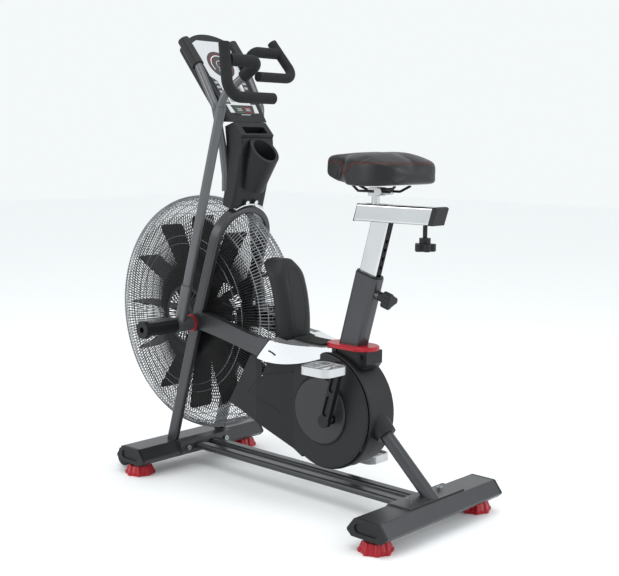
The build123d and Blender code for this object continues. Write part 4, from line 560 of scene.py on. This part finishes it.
def panel(sheaf, outline, base, thick):
    """A thin flat panel on the face."""
    sheaf.prism([on_face(a, u, base) for a, u in outline], FACE_OUT * thick * 0.001)


def block(across, up, half_w, half_h):
    """Corners of an upright rectangle on the face."""
    return [(across - half_w, up - half_h), (across + half_w, up - half_h),
            (across + half_w, up + half_h), (across - half_w, up + half_h)]


BEZEL_TOP = 1.0
dark, keys, white, red, green, lcd = Sheaf(), Sheaf(), Sheaf(), Sheaf(), Sheaf(), Sheaf()
for side in (1, -1):
    strip = [(side * 40, 66), (side * 60, 66), (side * 70, 168), (side * 48, 150)]
    panel(dark, strip if side > 0 else strip[::-1], BEZEL_TOP, 0.3)
    for k in range(5):
        up = 76 + 17 * k
        panel(keys, block(side * (50.5 + 0.085 * (up - 66)), up, 6.5, 4.2), BEZEL_TOP + 0.3, 0.5)
panel(dark, [(-38, 28), (38, 28), (46, 62), (-46, 62)], BEZEL_TOP, 0.3)
panel(lcd, block(0, 108, 34, 34), BEZEL_TOP, 0.4)
for k in range(4):
    panel(dark, block(-22 + 14.5 * k, 92, 5.2, 4.4), BEZEL_TOP + 0.4, 0.15)
    panel(dark, block(-22 + 14.5 * k, 122, 5.2, 4.4), BEZEL_TOP + 0.4, 0.15)
for across, sheaf in ((-17, green), (17, red)):
    panel(sheaf, block(across, 45, 14.5, 10.5), BEZEL_TOP + 0.3, 0.25)
    panel(dark, block(across, 45, 13.0, 9.0), BEZEL_TOP + 0.55, 0.15)
    for row in (-3, 3):
        panel(keys, block(across, 45 + row, 9.0, 1.7), BEZEL_TOP + 0.7, 0.3)
dial = on_face(0, 214, 0.0)
thin = FACE_OUT * 0.0004
white.annulus(dial, FACE_RIGHT, FACE_UP, 0.0335, 0.0360, thin, math.radians(-30), math.radians(210), steps=48)
white.annulus(dial, FACE_RIGHT, FACE_UP, 0.0150, 0.0162, thin, steps=40)
for k in range(25):
    turn = math.radians(-30 + 10 * k)
    red.annulus(dial, FACE_RIGHT, FACE_UP, 0.0395, 0.0455 if k % 3 == 0 else 0.0430, thin, turn - 0.022, turn + 0.022, steps=1)
for k in range(3):
    panel(lcd, block(-12 + 12 * k, 192, 4.6, 5.2), 0.0, 0.4)
red.annulus(dial, FACE_RIGHT, FACE_UP, 0.0060, 0.0300, thin, math.radians(128), math.radians(132), steps=1)
red.annulus(dial, FACE_RIGHT, FACE_UP, 0.0, 0.0046, thin, steps=24)
dark.build("console_key_strips", PANEL_LOOK, "screen_glass", FRAME_BODY)
keys.build("console_keys_print", KEY_LOOK, "silver_plastic", FRAME_BODY)
white.build("console_dial_arcs", WHITE_LOOK, "silver_plastic", FRAME_BODY)
red.build("console_red_print", LOOKS["red_plastic"], "red_plastic", FRAME_BODY)
green.build("console_green_print", GREEN_LOOK, "screen_glass", FRAME_BODY)
lcd.build("console_displays", LCD_LOOK, "screen_glass", FRAME_BODY)

# ------------------------------------------------------------------ stage, lights and camera
floor_mesh = bpy.data.meshes.new("floor")
FLOOR_HALF = 14.0
floor_mesh.from_pydata([(-FLOOR_HALF, -FLOOR_HALF, -0.0006), (FLOOR_HALF, -FLOOR_HALF, -0.0006),
                        (FLOOR_HALF, FLOOR_HALF, -0.0006), (-FLOOR_HALF, FLOOR_HALF, -0.0006)], [], [(0, 1, 2, 3)])
floor = bpy.data.objects.new("floor", floor_mesh)
floor_mesh.materials.append(node_material("floor look", (0.97, 0.975, 0.98), 0.6, variation=0.01, grain=300, bump=0.02))
bpy.context.scene.collection.objects.link(floor)

world = bpy.data.worlds.new("studio")
world.use_nodes = True
world.node_tree.nodes["Background"].inputs["Color"].default_value = (0.905, 0.942, 0.952, 1)
world.node_tree.nodes["Background"].inputs["Strength"].default_value = 1.0
bpy.context.scene.world = world
bpy.context.scene.view_settings.view_transform = "Standard"


def area_light(name, place, aim, width, power, tint=(1, 1, 1)):
    """A soft square light pointed at a place."""
    lamp = bpy.data.lights.new(name, "AREA")
    lamp.size = width
    lamp.energy = power
    lamp.color = tint
    holder = bpy.data.objects.new(name, lamp)
    holder.location = place
    holder.rotation_euler = (Vector(aim) - Vector(place)).to_track_quat("-Z", "Y").to_euler()
    bpy.context.scene.collection.objects.link(holder)


area_light("top softbox", (-0.6, 0.6, 3.4), (0, 0, 0.4), 2.6, 40)
area_light("left strip", (-3.0, -1.2, 1.7), (0, 0, 0.6), 1.6, 30, (0.96, 0.98, 1))
area_light("right strip", (1.6, 3.2, 1.9), (0, 0, 0.6), 1.6, 36)

camera_data = bpy.data.cameras.new("camera")
camera_data.lens = 63.57
camera_data.sensor_width = 36
camera_data.dof.use_dof = False
camera = bpy.data.objects.new("camera", camera_data)
camera.location = (-2.2742, 2.2866, 1.0287)
YAW, PITCH, ROLL = -0.82337, -0.13345, 0.0071
heading = Vector((math.cos(PITCH) * math.cos(YAW), math.cos(PITCH) * math.sin(YAW), math.sin(PITCH)))
aim = heading.to_track_quat("-Z", "Y").to_matrix() @ Matrix.Rotation(ROLL, 3, "Z")
camera.rotation_euler = aim.to_euler()
bpy.context.scene.collection.objects.link(camera)
bpy.context.scene.camera = camera
